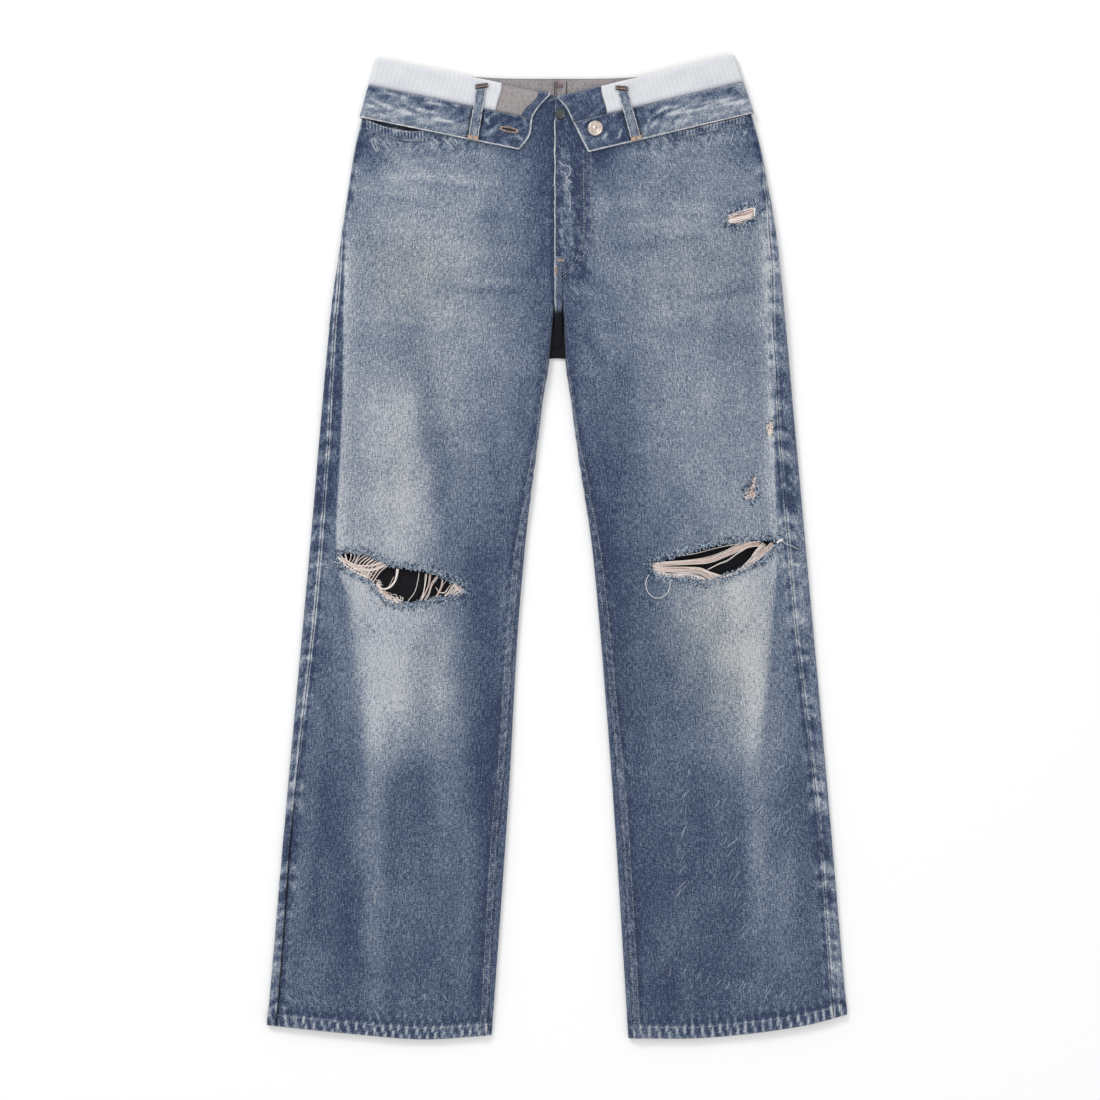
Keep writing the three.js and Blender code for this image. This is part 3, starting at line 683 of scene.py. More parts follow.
def build_yarn(tree, given):
    """Uneven yarns: short upright streaks, faint slubs both ways and a fine speckle, about zero."""
    cloth = given["Cloth"]
    upright = tree.around(tree.noise(cloth, (1.5, 6), 2.0), given["Streaks"])
    broad = tree.around(tree.noise(cloth, (3.6, 46), 2.0), tree.math("MULTIPLY", given["Streaks"], 0.2))
    cross = tree.around(tree.noise(cloth, (6, 1.2), 2.0), tree.math("MULTIPLY", given["Streaks"], 0.5))
    cloudy = tree.around(tree.noise(cloth, (26, 34), 2.0), tree.math("MULTIPLY", given["Streaks"], 0.3))
    speck = tree.around(tree.noise(cloth, (1.5, 1.6), 2.0, 0.8), given["Speckle"])
    return {"Yarn": tree.total(upright, broad, cross, cloudy, speck),
        "Height": tree.total(upright, cross, speck)}


def build_mottle(tree, given):
    """Light and dark patches, and thin pale creases, that washing leaves where cloth puckers at a seam."""
    spread = tree.add("ShaderNodeCombineXYZ", {"X": given["Wide"], "Y": given["Tall"]}).outputs[0]
    turned = tree.add("ShaderNodeMapping", {"Vector": given["Cloth"], "Rotation": (0, 0, 0.5)}).outputs[0]
    cloth = tree.add("ShaderNodeVectorMath", {0: turned, 1: spread}, operation="DIVIDE").outputs[0]
    blot = tree.add("ShaderNodeTexNoise", {"Vector": cloth, "Scale": 1.0, "Detail": 2.5, "Roughness": 0.6},
        noise_dimensions="2D").outputs[0]
    fine = tree.add("ShaderNodeTexNoise", {"Vector": cloth, "Scale": 1.7, "Detail": 1.0, "Distortion": 0.6},
        noise_dimensions="2D").outputs[0]
    crease = tree.math("ABSOLUTE", tree.math("SUBTRACT", fine, 0.5))
    crease = tree.math("SUBTRACT", 1.0, tree.math("MULTIPLY", crease, 22.0), clamp=True)
    made = tree.total(tree.around(blot, given["Strength"]), tree.math("MULTIPLY", crease, given["Creases"]),
        given["Lift"])
    return {"Mottle": tree.math("MULTIPLY", made, given["Seam"])}


YARN = node_group("Yarn", "ShaderNodeTree", [("Cloth", VECTOR, None), ("Streaks", FLOAT, 0.5),
    ("Speckle", FLOAT, 0.5)], [("Yarn", FLOAT), ("Height", FLOAT)], build_yarn)
MOTTLE = node_group("Seam mottle", "ShaderNodeTree", [("Cloth", VECTOR, None), ("Seam", FLOAT, 0.0),
    ("Strength", FLOAT, 2.0), ("Creases", FLOAT, 0.3), ("Lift", FLOAT, 0.0), ("Wide", FLOAT, 6 * MM),
    ("Tall", FLOAT, 10 * MM)], [("Mottle", FLOAT)], build_mottle)


def new_material(name, roughness, sheen=0.0, metallic=0.0, specular=0.25):
    material = bpy.data.materials.new(name)
    material.use_nodes = True
    tree = Tree(material.node_tree)
    shader = material.node_tree.nodes["Principled BSDF"]
    for label, value in (("Roughness", roughness), ("Metallic", metallic), ("Specular IOR Level", specular),
                         ("Sheen Weight", sheen)):
        shader.inputs[label].default_value = value
    return material, tree, shader


def cloth_masks(tree):
    """The cloth's own coordinates and its four masks."""
    cloth = tree.add("ShaderNodeUVMap", uv_map="cloth").outputs[0]
    wash = tree.add("ShaderNodeAttribute", attribute_name="wash")
    parts = tree.add("ShaderNodeSeparateColor", {"Color": wash.outputs["Color"]}).outputs
    return cloth, parts[0], parts[1], parts[2], wash.outputs["Alpha"]


def bumped(tree, shader, height, distance, strength=1.0):
    bump = tree.add("ShaderNodeBump", {"Height": height, "Distance": distance * MM, "Strength": strength})
    tree.set(shader.inputs["Normal"], bump.outputs[0])


def group_node(tree, group, **inputs):
    node = tree.add("ShaderNodeGroup", node_tree=group)
    for label, value in inputs.items():
        tree.set(node.inputs[label], value)
    return node.outputs


INDIGO = ((0.0, 46, 57, 84), (0.2, 72, 86, 111), (0.4, 99, 113, 135), (0.6, 127, 137, 152),
    (0.8, 156, 162, 173), (1.0, 192, 196, 202))
WRONG_SIDE = ((0.0, 96, 92, 98), (0.5, 148, 142, 144), (1.0, 188, 182, 182))


def denim(name, streaks, speckle, mottle, wide, tall, stops):
    material, tree, shader = new_material(name, 0.92, sheen=0.06)
    cloth, fade, cream, seam, shade = cloth_masks(tree)
    yarn = group_node(tree, YARN, Cloth=cloth, Streaks=streaks, Speckle=speckle)
    patches = group_node(tree, MOTTLE, Cloth=cloth, Seam=seam, Strength=mottle, Creases=mottle * 0.16,
        Lift=0.0, Wide=wide * MM, Tall=tall * MM)
    colour = tree.ramp(tree.total(fade, yarn["Yarn"], patches["Mottle"]), *stops)
    colour = tree.mix("MULTIPLY", cream, colour, (1.05, 1.02, 0.95, 1.0))
    colour = tree.mix("MIX", shade, colour, tint(11, 10, 18))
    tree.set(shader.inputs["Base Color"], colour)
    bumped(tree, shader, tree.total(yarn["Height"], tree.math("MULTIPLY", patches["Mottle"], 0.6)), 0.5)
    return material


def pocketing():
    """White cotton with a fine raised stripe."""
    material, tree, shader = new_material("Striped cotton", 0.85, sheen=0.1)
    cloth, fade, _, _, shade = cloth_masks(tree)
    stripe = tree.add("ShaderNodeTexWave", {"Vector": cloth, "Scale": 62.0, "Distortion": 0.4,
        "Detail": 0.0}, bands_direction="X").outputs[1]
    fuzz = tree.around(tree.noise(cloth, (2.5, 2.5), 3.0), 0.35)
    soft = tree.around(tree.noise(cloth, (24, 16), 2.0), 0.5)
    factor = tree.total(tree.math("MULTIPLY", stripe, 0.16), fuzz, soft, tree.math("MULTIPLY", fade, 0.4),
        0.12)
    colour = tree.ramp(factor, (0.0, 194, 197, 204), (0.5, 214, 216, 220), (1.0, 230, 231, 233))
    tree.set(shader.inputs["Base Color"], tree.mix("MIX", shade, colour, tint(120, 128, 150)))
    bumped(tree, shader, stripe, 0.14)
    return material


def yarn_material(name, *stops):
    """Loose yarn or sewing thread, each strand of its own tone."""
    material, tree, shader = new_material(name, 0.8, sheen=0.15)
    tone = tree.add("ShaderNodeAttribute", attribute_name="tone").outputs["Fac"]
    where = tree.add("ShaderNodeTexCoord").outputs["Object"]
    speck = tree.around(tree.noise(where, (0.7, 0.7), 2.0), 0.3)
    tree.set(shader.inputs["Base Color"], tree.ramp(tree.total(tone, speck), *stops))
    bumped(tree, shader, speck, 0.2)
    return material


def metal(name, worn, bare, roughness):
    material, tree, shader = new_material(name, roughness, metallic=0.85, specular=0.5)
    where = tree.add("ShaderNodeTexCoord").outputs["Object"]
    patch = tree.noise(where, (2.2, 2.2), 4.0, 0.65)
    tree.set(shader.inputs["Base Color"], tree.ramp(patch, (0.35, *worn), (0.65, *bare)))
    grit = tree.noise(where, (0.5, 0.5), 2.0)
    tree.set(shader.inputs["Roughness"], tree.math("ADD", tree.around(grit, 0.3), roughness))
    bumped(tree, shader, grit, 0.06)
    return material


DENIM_FACE = denim("Washed denim", 0.85, 1.4, 1.7, 6, 9, INDIGO)
TRIM_FACE = denim("Washed denim trim", 0.6, 1.2, 1.1, 15, 8, INDIGO)
DENIM_BACK = denim("Denim wrong side", 0.5, 1.0, 0.8, 9, 9, WRONG_SIDE)
BODY, TRIM = (DENIM_FACE, DENIM_BACK), (TRIM_FACE, DENIM_BACK)
COTTON = pocketing()
STITCH = yarn_material("Sewing thread", (0.0, 104, 108, 120), (0.5, 152, 152, 156), (1.0, 196, 192, 188))
# Sewing thread coloured dark as if in shade: painted shade for the stitches along the fly's edge, the rise
# seam and the waistband.
SHADED_STITCH = yarn_material("Thread in painted shade", (0.0, 24, 28, 46), (1.0, 92, 94, 108))
ORANGE = yarn_material("Orange thread", (0.0, 124, 96, 80), (0.5, 182, 150, 126), (1.0, 234, 214, 196))
WEFT = yarn_material("Pale weft yarn", (0.0, 196, 160, 148), (0.4, 230, 214, 206), (1.0, 250, 246, 243))
FRINGE = yarn_material("Frayed warp yarn", (0.0, 28, 42, 72), (0.45, 92, 124, 158), (1.0, 206, 220, 234))
DARK_THREAD_AND_SLIT_SHADE = yarn_material("Dark thread and painted slit shade", (0.0, 24, 22, 28), (0.5, 84, 66, 62), (1.0, 196, 168, 162))
RUBBED = yarn_material("Rubbed pale cotton", (0.0, 116, 130, 150), (1.0, 214, 216, 218))
PALE_METAL = metal("Worn pale metal", (176, 162, 150), (236, 226, 216), 0.5)
DARK_METAL = metal("Dark metal", (50, 55, 60), (98, 104, 106), 0.5)

# ---------------------------------------------------------------- front panels
FINE_BANDS = {"right": ((-68, 0),), "left": ((-44, 12), (348, 378), (46, 84), (118, 142))}
# Painted shade: the inside of the legs and the low part of the rise seam are coloured near black, standing in
# for the deep shade there.
PAINTED_DEEP_SHADE = 0.985  # how dark the inside of the legs looks


def leg_flat(side, y):
    """Width of the flat between a leg's two turned edges."""
    return side.edge(y) - side.inner(y) - 2 * turn_radius(y)


def front_ends(side, y):
    """Where a front starts at the side seam and ends at the inseam or the fly."""
    fly = side.fly_edge - side.inner(y) - turn_radius(y) + quarter(y)
    start = lerp(side.inseam(y) + GAP / 2, fly, smooth(y, FLY_ROLL, FLY_BOTTOM))
    return side.side_seam(y) + GAP / 2, 2 * quarter(y) + leg_flat(side, y) - start


def hem_rope(x, up, seed):
    """Nearly upright ridges of a twisted hem, about zero: strong on the hem, dying out above it."""
    slant = x + 0.25 * up + 4 * (soft_noise(x / 15, up / 30, seed) - 0.5)
    wave = np.cos(slant * 2 * np.pi / HEM_TWIST)
    ridge = (1.5 * bell((wave - 1) / 0.45) - 0.5) * (0.6 + 0.9 * soft_noise(x / 11, 3.5 + 0 * x, seed + 1))
    return ridge * below(up, *HEM_END), ridge * smooth(up, *HEM_END) * below(up, 15, 34)


def hem_tone(x, up, seed, fade):
    """Fade at a hem: pale ridges, dark hollows, a worn edge and a groove along the stitches."""
    low, high = hem_rope(x, up, seed)
    fade = lerp(fade, 0.42, 0.8 * below(up, 12.6, 15))
    fade = fade + 0.6 * low + 0.3 * high + 0.3 * below(up, 0, 2.4)
    return fade - 0.2 * near_seam(np.abs(up - 16.5), 4) + 0.18 * near_seam(np.abs(up - 13.6), 1.8)


def inseam_live(y):
    return below(y, 190, 215)


def front_lift(side, c, y, x):
    """How far a front stands off its plain form: seam ridges, hems, puckers and the fly."""
    first, last = front_ends(side, y)
    out, into = c - first, last - c
    up = y - side.hem(side.sign * x)
    live = inseam_live(y)
    lift = 0.8 * below(into, 8.4, 10.2) * live
    lift -= 0.55 * below(into, 0, 1.5) + 0.55 * below(out, 0, 1.6)
    lift += 0.4 * ripple_along(y, 7.5, 31) * near_seam(into, 13) * live
    lift += 0.35 * ripple_along(y, 8.5, 32) * near_seam(out, 11)
    lift += 0.9 * below(up, *HEM_END)
    low, high = hem_rope(x, up, 33)
    lift += 0.5 * low + 0.45 * high
    fly = smooth(y, 285, 300)
    if side is LEFT:
        lift += 0.7 * below(x, 39, 42) * fly * (1 - 0.6 * smooth(y, 425, 440))
        lift += 0.5 * ripple_along(y + 0.5 * x, 8, 34) * near_seam(np.abs(x - 33), 12) * fly
        lift += 0.5 * ripple_along(y - x, 13, 35) * near_seam(np.abs(x - 14), 14) * fly
    else:
        lift -= 0.5 * below(-x, 3, 9) * fly
    return lift


def seam_closeness(side, c, y, x):
    """The mask of seam wear on a front."""
    first, last = front_ends(side, y)
    up = y - side.hem(side.sign * x)
    closeness = np.maximum(0.6 * near_seam(last - c, 18) * inseam_live(y), 0.4 * near_seam(c - first, 13))
    closeness = np.maximum(closeness, 0.14 * near_seam(up, 34))
    below_band = band_foot(side, side.sign * x) - y
    closeness = np.maximum(closeness, 0.75 * near_seam(below_band, 34) * smooth(side.sign * x, 60, 120))
    fly = smooth(y, 286, 300)
    if side is LEFT:
        closeness = np.maximum(closeness, 0.6 * near_seam(np.abs(x - 16), 34) * fly)
    else:
        closeness = np.maximum(closeness, 0.3 * near_seam(-x, 14) * fly)
    return closeness


def seam_tone(side, c, y, x, fade):
    """Fade near seams: dark beside them and on the fly, pale on ridges and edges, with painted shade round
    the waistband's foot and the fly.
    """
    first, last = front_ends(side, y)
    up = y - side.hem(side.sign * x)
    fade = hem_tone(x, up, 33, fade)
    out = c - first
    worn = smooth(y, -330, -150) if side is RIGHT else 0.72
    # At the side seam's edge the line is pale wear; low on the right leg, where worn falls to 0, it turns
    # dark instead, a painted shadow where the edge rolls under.
    fade = fade + (1.1 * worn - 0.5) * near_seam(np.abs(out - 1.2), 1.3) - 0.2 * near_seam(np.abs(out - 3.8),
        3)
    fade = fade + 0.32 * ripple_along(y + 0.4 * out, 6, 45) * near_seam(out, 13)
    if side is RIGHT:
        fade = fade + 0.14 * near_seam(np.abs(out - 14), 18) * smooth(-y, 110, 180) * below(-y, 380, 440)
    live = inseam_live(y)
    fade = fade + live * (0.08 * near_seam(np.abs(last - c - 5), 5) - 0.16
        * near_seam(np.abs(last - c - 10.5), 3.5))
    fade = fade + 0.16 * below(last - c, 0, 2.2) * live
    fly = smooth(y, 282, 296)
    below_band = band_foot(side, side.sign * x) - y
    # Painted shadow: darker round the waistband's lower edge.
    fade = fade - 0.16 * near_seam(np.abs(below_band), 14) * (side.sign * x > 40)
    if side is LEFT:
        fade = lerp(fade, 0.06, 0.88 * below(x, 27, 40) * fly)
        fade = fade - 0.16 * near_seam(np.abs(x - 22), 8) * smooth(y, 335, 380)
        fade = fade + 0.18 * near_seam(np.hypot((x - 10) / 11, (y - 410) / 44), 1.0)
        rubs = bell((np.cos((x + 0.03 * y) * 2 * np.pi / 5.2) - 1) / 0.5)
        fade = fade + (0.2 + 0.3 * rubs) * near_seam(np.hypot((x - 12) / 12, (y - 350) / 62), 1.0)
        fade = lerp(fade, 0.98, below(x, -3.4, -0.2) * fly)
    else:
        # Painted shade on the right front beside the fly, where the left front's edge overlaps it, with a
        # darker painted shadow line close to that edge.
        fade = fade - 0.1 * near_seam(-x, 40) * smooth(y, 290, 420) - 0.35 * near_seam(np.abs(x + 5),
            3.5) * smooth(y, 262, 275)
    return fade


def seam_shadow(side, c, y):
    """Dark line where the side seam's edge rolls under, low on the right leg."""
    if side is LEFT:
        return 0 * y
    return 0.92 * below(np.abs(side.side_seam(y) - c - 0.2), 0.5, 1.5) * below(y, -330, -250)


def front(side):
    # columns close together beside both seams
    edge = np.array([0, 0.8, 1.6, 2.5, 3.7, 5.2, 7, 8.6, 10, 11.4, 12.8, 14.2, 15.6, 17.2, 19.2, 21.6])
    width = 243.5
    columns = np.concatenate([edge, np.linspace(24.5, 227, 67), width - edge[:10][::-1]])[None, :] / width
    body = heights(FOOT, WAIST_BODY, 3.2, 1.7, FINE_BANDS[side.name])[:, None]
    first, last = front_ends(side, body)
    x = leg_point(side, lerp(first, last, columns), body, 0)[..., 0]
    y = body + (side.hem(side.sign * x) - FOOT) * below(body, FOOT, -430)
    first, last = front_ends(side, y)
    c = lerp(first, last, columns)
    top = fold_line(side, np.clip(side.edge(520) - WAIST_R - (c[-1] - WAIST_Q), -10, 197))
    climb = np.linspace(0, 1, 24)[1:, None]
    y = np.vstack([y, lerp(WAIST_BODY, top[None, :], climb)])
    first, last = front_ends(side, y)
    c = lerp(first, last, columns)
    x = leg_point(side, c, y, 0)[..., 0]
    lift = front_lift(side, c, y, x)
    outer, inner = leg_point(side, c, y, lift), leg_point(side, c, y, lift - DENIM)

    # over the fold and down the flap
    tangent = lambda drop: waist_edge(side, drop) - WAIST_R
    c_top = c[-1]
    flat = c_top > WAIST_Q
    inward = (c_top - WAIST_Q) / (c_top[-1] - WAIST_Q)

    def turned(drop, share):
        kept = tangent(drop) - (c_top - WAIST_Q)
        shifted = tangent(drop) - inward * (tangent(drop) - side.flap_end(drop))
        return np.where(flat, WAIST_Q + tangent(drop) - lerp(kept, shifted, share), c_top)

    turns = np.linspace(0, np.pi, 9)[1:-1]
    drops = np.linspace(0, FLAP - GAP / 2, 10)
    fold_rows = [[over_fold(side, turned(0, t / np.pi), t, d) for t in turns] for d in (0, DENIM)]
    flap_rows = [[waist_point(side, turned(p, 1), p, FLAP_H + d) for p in drops] for d in (0, DENIM)]
    outer = np.concatenate([outer, np.array(fold_rows[0]), np.array(flap_rows[0])])
    inner = np.concatenate([inner, np.array(fold_rows[1]), np.array(flap_rows[1])])

    fade, cream = front_wash(side, x, y)
    fade = seam_tone(side, c, y, x, fade)
    start, end, gape, _ = side.pocket
    share = (side.sign * x - start) / (end - start)
    slit = band_foot(side, side.sign * x) - y
    in_slit = smooth(4 * share * (1 - share), 0, 0.3) * smooth(slit, -3, 0) * below(slit, gape, gape + 2)
    shadow = np.maximum(0.96 * in_slit * (share > 0) * (share < 1), seam_shadow(side, c, y))
    body_wash = washes(fade, cream, seam_closeness(side, c, y, x), shadow)
    extra = len(turns) + len(drops)
    flap_wash = np.broadcast_to(washes(0.4, 0, 0.3, 0), (extra, c.shape[1], 4))
    # The front's inner face is coloured near black with painted deep shade, as seen through the rips.
    inside = np.concatenate([washes(0.4, 0, 0, PAINTED_DEEP_SHADE + 0 * fade),
        np.broadcast_to(washes(0.55, 0.2, 0.2, 0), (extra, c.shape[1], 4))])
    uv = np.stack([c, y], -1)
    more = np.stack(np.broadcast_arrays(c_top, 520 + 4.5 * np.arange(1, extra + 1)[:, None]), -1)
    keep = cut_rips(side, outer[:len(y)], inner[:len(y)])
    keep = np.concatenate([keep, np.ones((extra, keep.shape[1]), bool)])
    piece = sheet_piece(f"front_{side.name}", outer, inner, np.concatenate([uv, more]),
        np.concatenate([body_wash, flap_wash]), inside, BODY, keep)
    return piece


# ---------------------------------------------------------------- back panels and yokes


TURN, LEVEL, ROUND = 14, 43, 11  # columns of a back: round the outer edge, across the flat, round the inseam


def flat_end(side, y):
    """Where the flat of a back ends, before its inner edge."""
    return np.maximum(side.inner(y) + turn_radius(y), 12)


def back_points(side, y, lift):
    """The points of a back and their measure round the leg, for columns of heights."""
    turn_y, level_y, round_y = y[:, :TURN], y[:, TURN:-ROUND], y[:, -ROUND:]
    turn = lerp(side.side_seam(turn_y) - GAP / 2, -quarter(turn_y), np.linspace(0, 1, TURN) ** 1.4)
    level = lerp(-quarter(level_y), -across_to_c(side, flat_end(side, level_y), level_y),
        np.linspace(0, 1, LEVEL + 1)[1:])
    share = np.linspace(0, 1, ROUND + 1)[1:]
    across = lerp(flat_end(side, round_y), GAP / 10, share)
    joined = place(side.sign * across, round_y, back_level(round_y) - lift[:, -ROUND:], 0)
    seam = 2 * quarter(round_y) + leg_flat(side,
        round_y) + side.inseam(round_y) - GAP / 2 - seat_ease(round_y)
    start = across_to_c(side, flat_end(side, round_y), round_y)
    turned = -lerp(start, seam, share)
    part = below(round_y, CROTCH_BOTTOM, CROTCH_TOP)[..., None]
    ends = lerp(joined, leg_point(side, turned, round_y, lift[:, -ROUND:]), part)
    points = np.concatenate([leg_point(side, turn, turn_y, lift[:, :TURN]),
        leg_point(side, level, level_y, lift[:, TURN:-ROUND]), ends], 1)
    return points, np.concatenate([turn, level, turned], 1)


def back_wash(side, x, y, c):
    """Fade of a back: pale seat and knee, and its own tone on the strip that comes round to the front."""
    across = side.sign * x
    fade = 0.22 + 0.34 * np.exp(-(((across - 130) / 90) ** 2 + ((y - 300) / 120) ** 2) ** 1.3)
    fade += 0.2 * np.exp(-(((across - 150) / 60) ** 2 + ((y + 60) / 160) ** 2))
    fade += 0.05 * np.sin((y + 0.2 * across) / 7) * bell((y + 40) / 70)
    base, low = (0.2, 0.2) if side is RIGHT else (0.36, 0.06)
    strip = base + low * smooth(-y, 40, 180) + 0.2 * smooth(y, 200, 320) + 0.16 * bell((y + 10) / 60)
    strip = strip - 0.14 * bell((y - 130) / 50)
    fade = np.where(c > -quarter(y), strip, fade)
    return fade + 0.16 * (soft_noise(x / 20, y / 26, 41) - 0.5)


def back(side):
    body = np.union1d(heights(FOOT, WAIST_BODY, 4.2, 4.2, ()), [CROTCH_BOTTOM, 206.5, CROTCH_TOP])[:, None]
    y = np.repeat(body, TURN + LEVEL + ROUND, 1)
    rough, _ = back_points(side, y, 0 * y)
    across = side.sign * rough[..., 0]
    y = y + (side.hem(across) - FOOT) * below(y, FOOT, -430)
    climb = np.linspace(0, 1, 8)[1:, None]
    y = np.vstack([y, lerp(WAIST_BODY, yoke_seam(across[-1])[None, :] - GAP, climb)])
    plain, c = back_points(side, y, 0 * y)
    x = plain[..., 0]
    up = y - side.hem(side.sign * x)
    out = side.side_seam(y) - c
    low, high = hem_rope(x, up, 36)
    lift = (c > 0) * (0.4 * ripple_along(y, 8, 42) * near_seam(out, 14) + 0.9 * below(up, *HEM_END) + 0.5
        * low + 0.4 * high)
    outer, _ = back_points(side, y, lift)
    inner, _ = back_points(side, y, lift - DENIM)
    raised = np.where(c < -quarter(y), 0.9 * soft_noise(x / 30, y / 70, 43), 0) * smooth(up, 0, 30)
    outer[..., 2] += raised
    inner[..., 2] += raised
    fade = hem_tone(x, up, 36, back_wash(side, x, y, c))
    worn = smooth(y, -330, -200) if side is RIGHT else 0.4
    fade = fade + (c > 0) * (0.5 * worn * near_seam(np.abs(out - 1.4), 1.4) - 0.15
        * near_seam(np.abs(out - 4.2), 3))
    fade = fade + (c > 0) * 0.42 * ripple_along(y + 0.4 * out, 6, 45) * near_seam(out, 15)
    seam = np.maximum(np.where(c > -quarter(y), 0.38, 0.0), 0.14 * near_seam(up, 34))
    seam = np.maximum(seam, near_seam(np.abs(side.sign * x), 14) * smooth(y, 200, 220))
    wash = washes(fade, 0, seam, seam_shadow(side, c, y))
    # The back's inner face is coloured near black with painted deep shade, as seen through the rips and
    # between the legs.
    dark = washes(0.4, 0, 0, PAINTED_DEEP_SHADE + 0 * fade)
    piece = sheet_piece(f"back_{side.name}", outer, inner, np.stack([c, y], -1), wash, dark, BODY)
    return piece


def yoke(side):
    turn = np.linspace(-GAP / 2, -WAIST_Q, 10)
    edge = float(side.edge(500)) - WAIST_R
    flat = -(WAIST_Q + np.linspace(0, edge - GAP / 2, 56)[1:])
    c = np.concatenate([turn, flat])
    edge_at = lambda y: side.edge(y) - WAIST_R
    across = np.where(c < -WAIST_Q, edge - (-c - WAIST_Q), edge)
    stretch = lambda y: np.where(c < -WAIST_Q, -(WAIST_Q + (edge_at(y) - GAP / 2) * (-c - WAIST_Q)
        / (edge - GAP / 2)), c)
    seam_y = yoke_seam(across)
    high = np.where(c < -WAIST_Q, lerp(back_waist(across), fold_line(side, across) + FOLD_REACH,
        smooth(across, 110, 190)), side.fold[0] + side.fold[1] * 197) - FOLD_REACH
    body = lerp(seam_y, high, np.linspace(0, 1, 20)[:, None])
    turns, drops = np.linspace(0, np.pi, 9)[1:-1], np.linspace(0, FLAP - GAP / 2, 10)
    layers = []
    for depth in (0, DENIM):
        rows = [leg_point(side, stretch(row), row, -depth) for row in body]
        rows += [over_fold(side, stretch(row_y), t, depth) for t, row_y in ((t, body[-1]) for t in turns)]
        rows += [waist_point(side, stretch(body[-1] - p), p, FLAP_H + depth) for p in drops]
        layers.append(np.array(rows))
    v = np.concatenate([body, body[-1] + 4.5 * np.arange(1, len(turns) + len(drops) + 1)[:, None]])
    x = layers[0][..., 0]
    pucker = near_seam(np.abs(x), 12)
    wash = washes(0.42 + 0.2 * (soft_noise(x / 25, v / 20, 44) - 0.5), 0, 0.4, 0)
    inside = washes(0.48 + 0.12 * (soft_noise(x / 18, v / 14, 45) - 0.5) - 0.2 * near_seam(np.abs(x), 5),
        0.15, 0.3 + 0.6 * pucker, 0)
    piece = sheet_piece(f"yoke_{side.name}", layers[0], layers[1],
        np.stack(np.broadcast_arrays(c, v), -1), wash, inside, BODY)
    return piece


# ---------------------------------------------------------------- what the fold carries


def overlay(node, side, c_at, wash_at, materials):
    """Cloth on the flap from the top of the fold to the waistband seam. c_at(drop) gives its columns."""
    low = LINING_H - FLAP_H
    turns, drops = np.linspace(np.pi / 2, np.pi, 5)[:-1], np.linspace(0, FLAP - GAP / 2, 11)
    layers = []
    for depth in (low, low + LINING):
        rows = [over_fold(side, c_at(0.0), t, depth) for t in turns]
        rows += [waist_point(side, c_at(p), p, FLAP_H + depth) for p in drops]
        layers.append(np.array(rows))
    v = np.concatenate([-4.0 * np.arange(len(turns), 0, -1), drops])[:, None]
    u = np.broadcast_to(c_at(15.0), layers[0].shape[:2])
    wash = wash_at(layers[0][..., 0], v + 0 * u, u)
    piece = sheet_piece(node, layers[1], layers[0], np.stack(np.broadcast_arrays(u, -v), -1), wash,
        wash, materials)
    return piece


def pocket_bag(side):
    def columns(drop):
        start = waist_c(side, side.lining_end(drop), drop)
        return np.concatenate([lerp(start, WAIST_Q, np.linspace(0, 1, 56)),
            WAIST_Q * np.linspace(1, -0.4, 9)[1:]])

    # The lining is paler over the fold. Where it meets the waistband's upper edge it darkens in painted
    # shade.
    wash = lambda x, v, u: washes(0.5 + 0.3 * near_seam(v + 4, 8) - 0.9 * near_seam(FLAP - v, 5), 0, 0,
        0.5 * near_seam(FLAP - v, 4))
    return overlay(f"pocket_bag_{side.name}", side, columns, wash, [COTTON, COTTON])


def fly_facing(side):
    ends = lambda drop: (flap_c(side, drop), waist_c(side, side.facing_end(drop) - GAP, drop))
    columns = lambda drop: lerp(*ends(drop), np.linspace(0, 1, 26))
    dark = 0.12 if side is LEFT else 0.2

    def wash(x, v, u):
        first, _ = ends(15.0)
        edge = near_seam(np.abs(u - first), 2.2)
        folds = 0.3 * bell(np.sin((x * 0.8 + v * 1.3) / 7) / 0.25) * (side is LEFT)
        return washes(dark + 0.8 * edge + folds + 0.2 * near_seam(v + 4, 5), 0, 0.6, 0)

    return overlay(f"fly_facing_{side.name}", side, columns, wash, TRIM)


# Pale crease lines across the waistband, and its darker and paler patches: middle, reach each way, strength.
BAND_CREASES = (((95, 455), (103, 472)), ((101, 469), (118, 481)), ((112, 479), (142, 485)),
    ((100, 457), (116, 473)), ((112, 470), (150, 484)), ((144, 482), (188, 492)), ((121, 473), (172, 482)),
    ((164, 480), (214, 490)), ((66, 444), (72, 462)), ((50, 444), (56, 456)), ((27, 462), (38, 472)),
    ((60, 470), (70, 482)), ((24, 452), (34, 446)), ((40, 474), (56, 478)), ((150, 478), (206, 496)),
    ((-206, 491), (-176, 478)), ((-163, 482), (-127, 474)), ((-150, 488), (-112, 482)),
    ((-124, 492), (-104, 480)), ((-196, 500), (-160, 490)), ((-180, 480), (-150, 471)),
    ((-140, 470), (-108, 464)), ((-214, 486), (-190, 478)), ((-81, 464), (-60, 482)),
    ((-76, 452), (-60, 466)), ((-55, 482), (-43, 469)), ((-60, 446), (-52, 438)), ((-38, 476), (-33, 459)),
    ((-81, 473), (-73, 461)), ((-46, 452), (-36, 444)))
BAND_PATCHES = ((-202, 501, 8, 5, -0.3), (-186, 497, 5, 7, -0.28), (-172, 494, 6, 5, -0.25),
    (-160, 491, 5, 4, -0.25), (-149, 489, 5, 5, -0.25), (-141, 478, 5, 5, -0.3), (-118, 484, 9, 5, -0.25),
    (-114, 472, 5, 5, -0.25), (-104, 474, 8, 10, -0.25), (-196, 485, 8, 6, 0.1), (-176, 474, 14, 6, 0.14),
    (-140, 466, 16, 6, 0.14), (106, 478, 6, 5, -0.25), (114, 470, 7, 6, -0.25), (130, 492, 6, 4, -0.25),
    (144, 495, 5, 4, -0.2), (158, 496, 6, 4, -0.22), (172, 498, 5, 4, -0.2), (186, 499, 6, 4, -0.22),
    (200, 498, 8, 5, -0.15), (150, 472, 30, 6, 0.12), (196, 484, 20, 6, 0.12), (126, 462, 20, 5, 0.08))


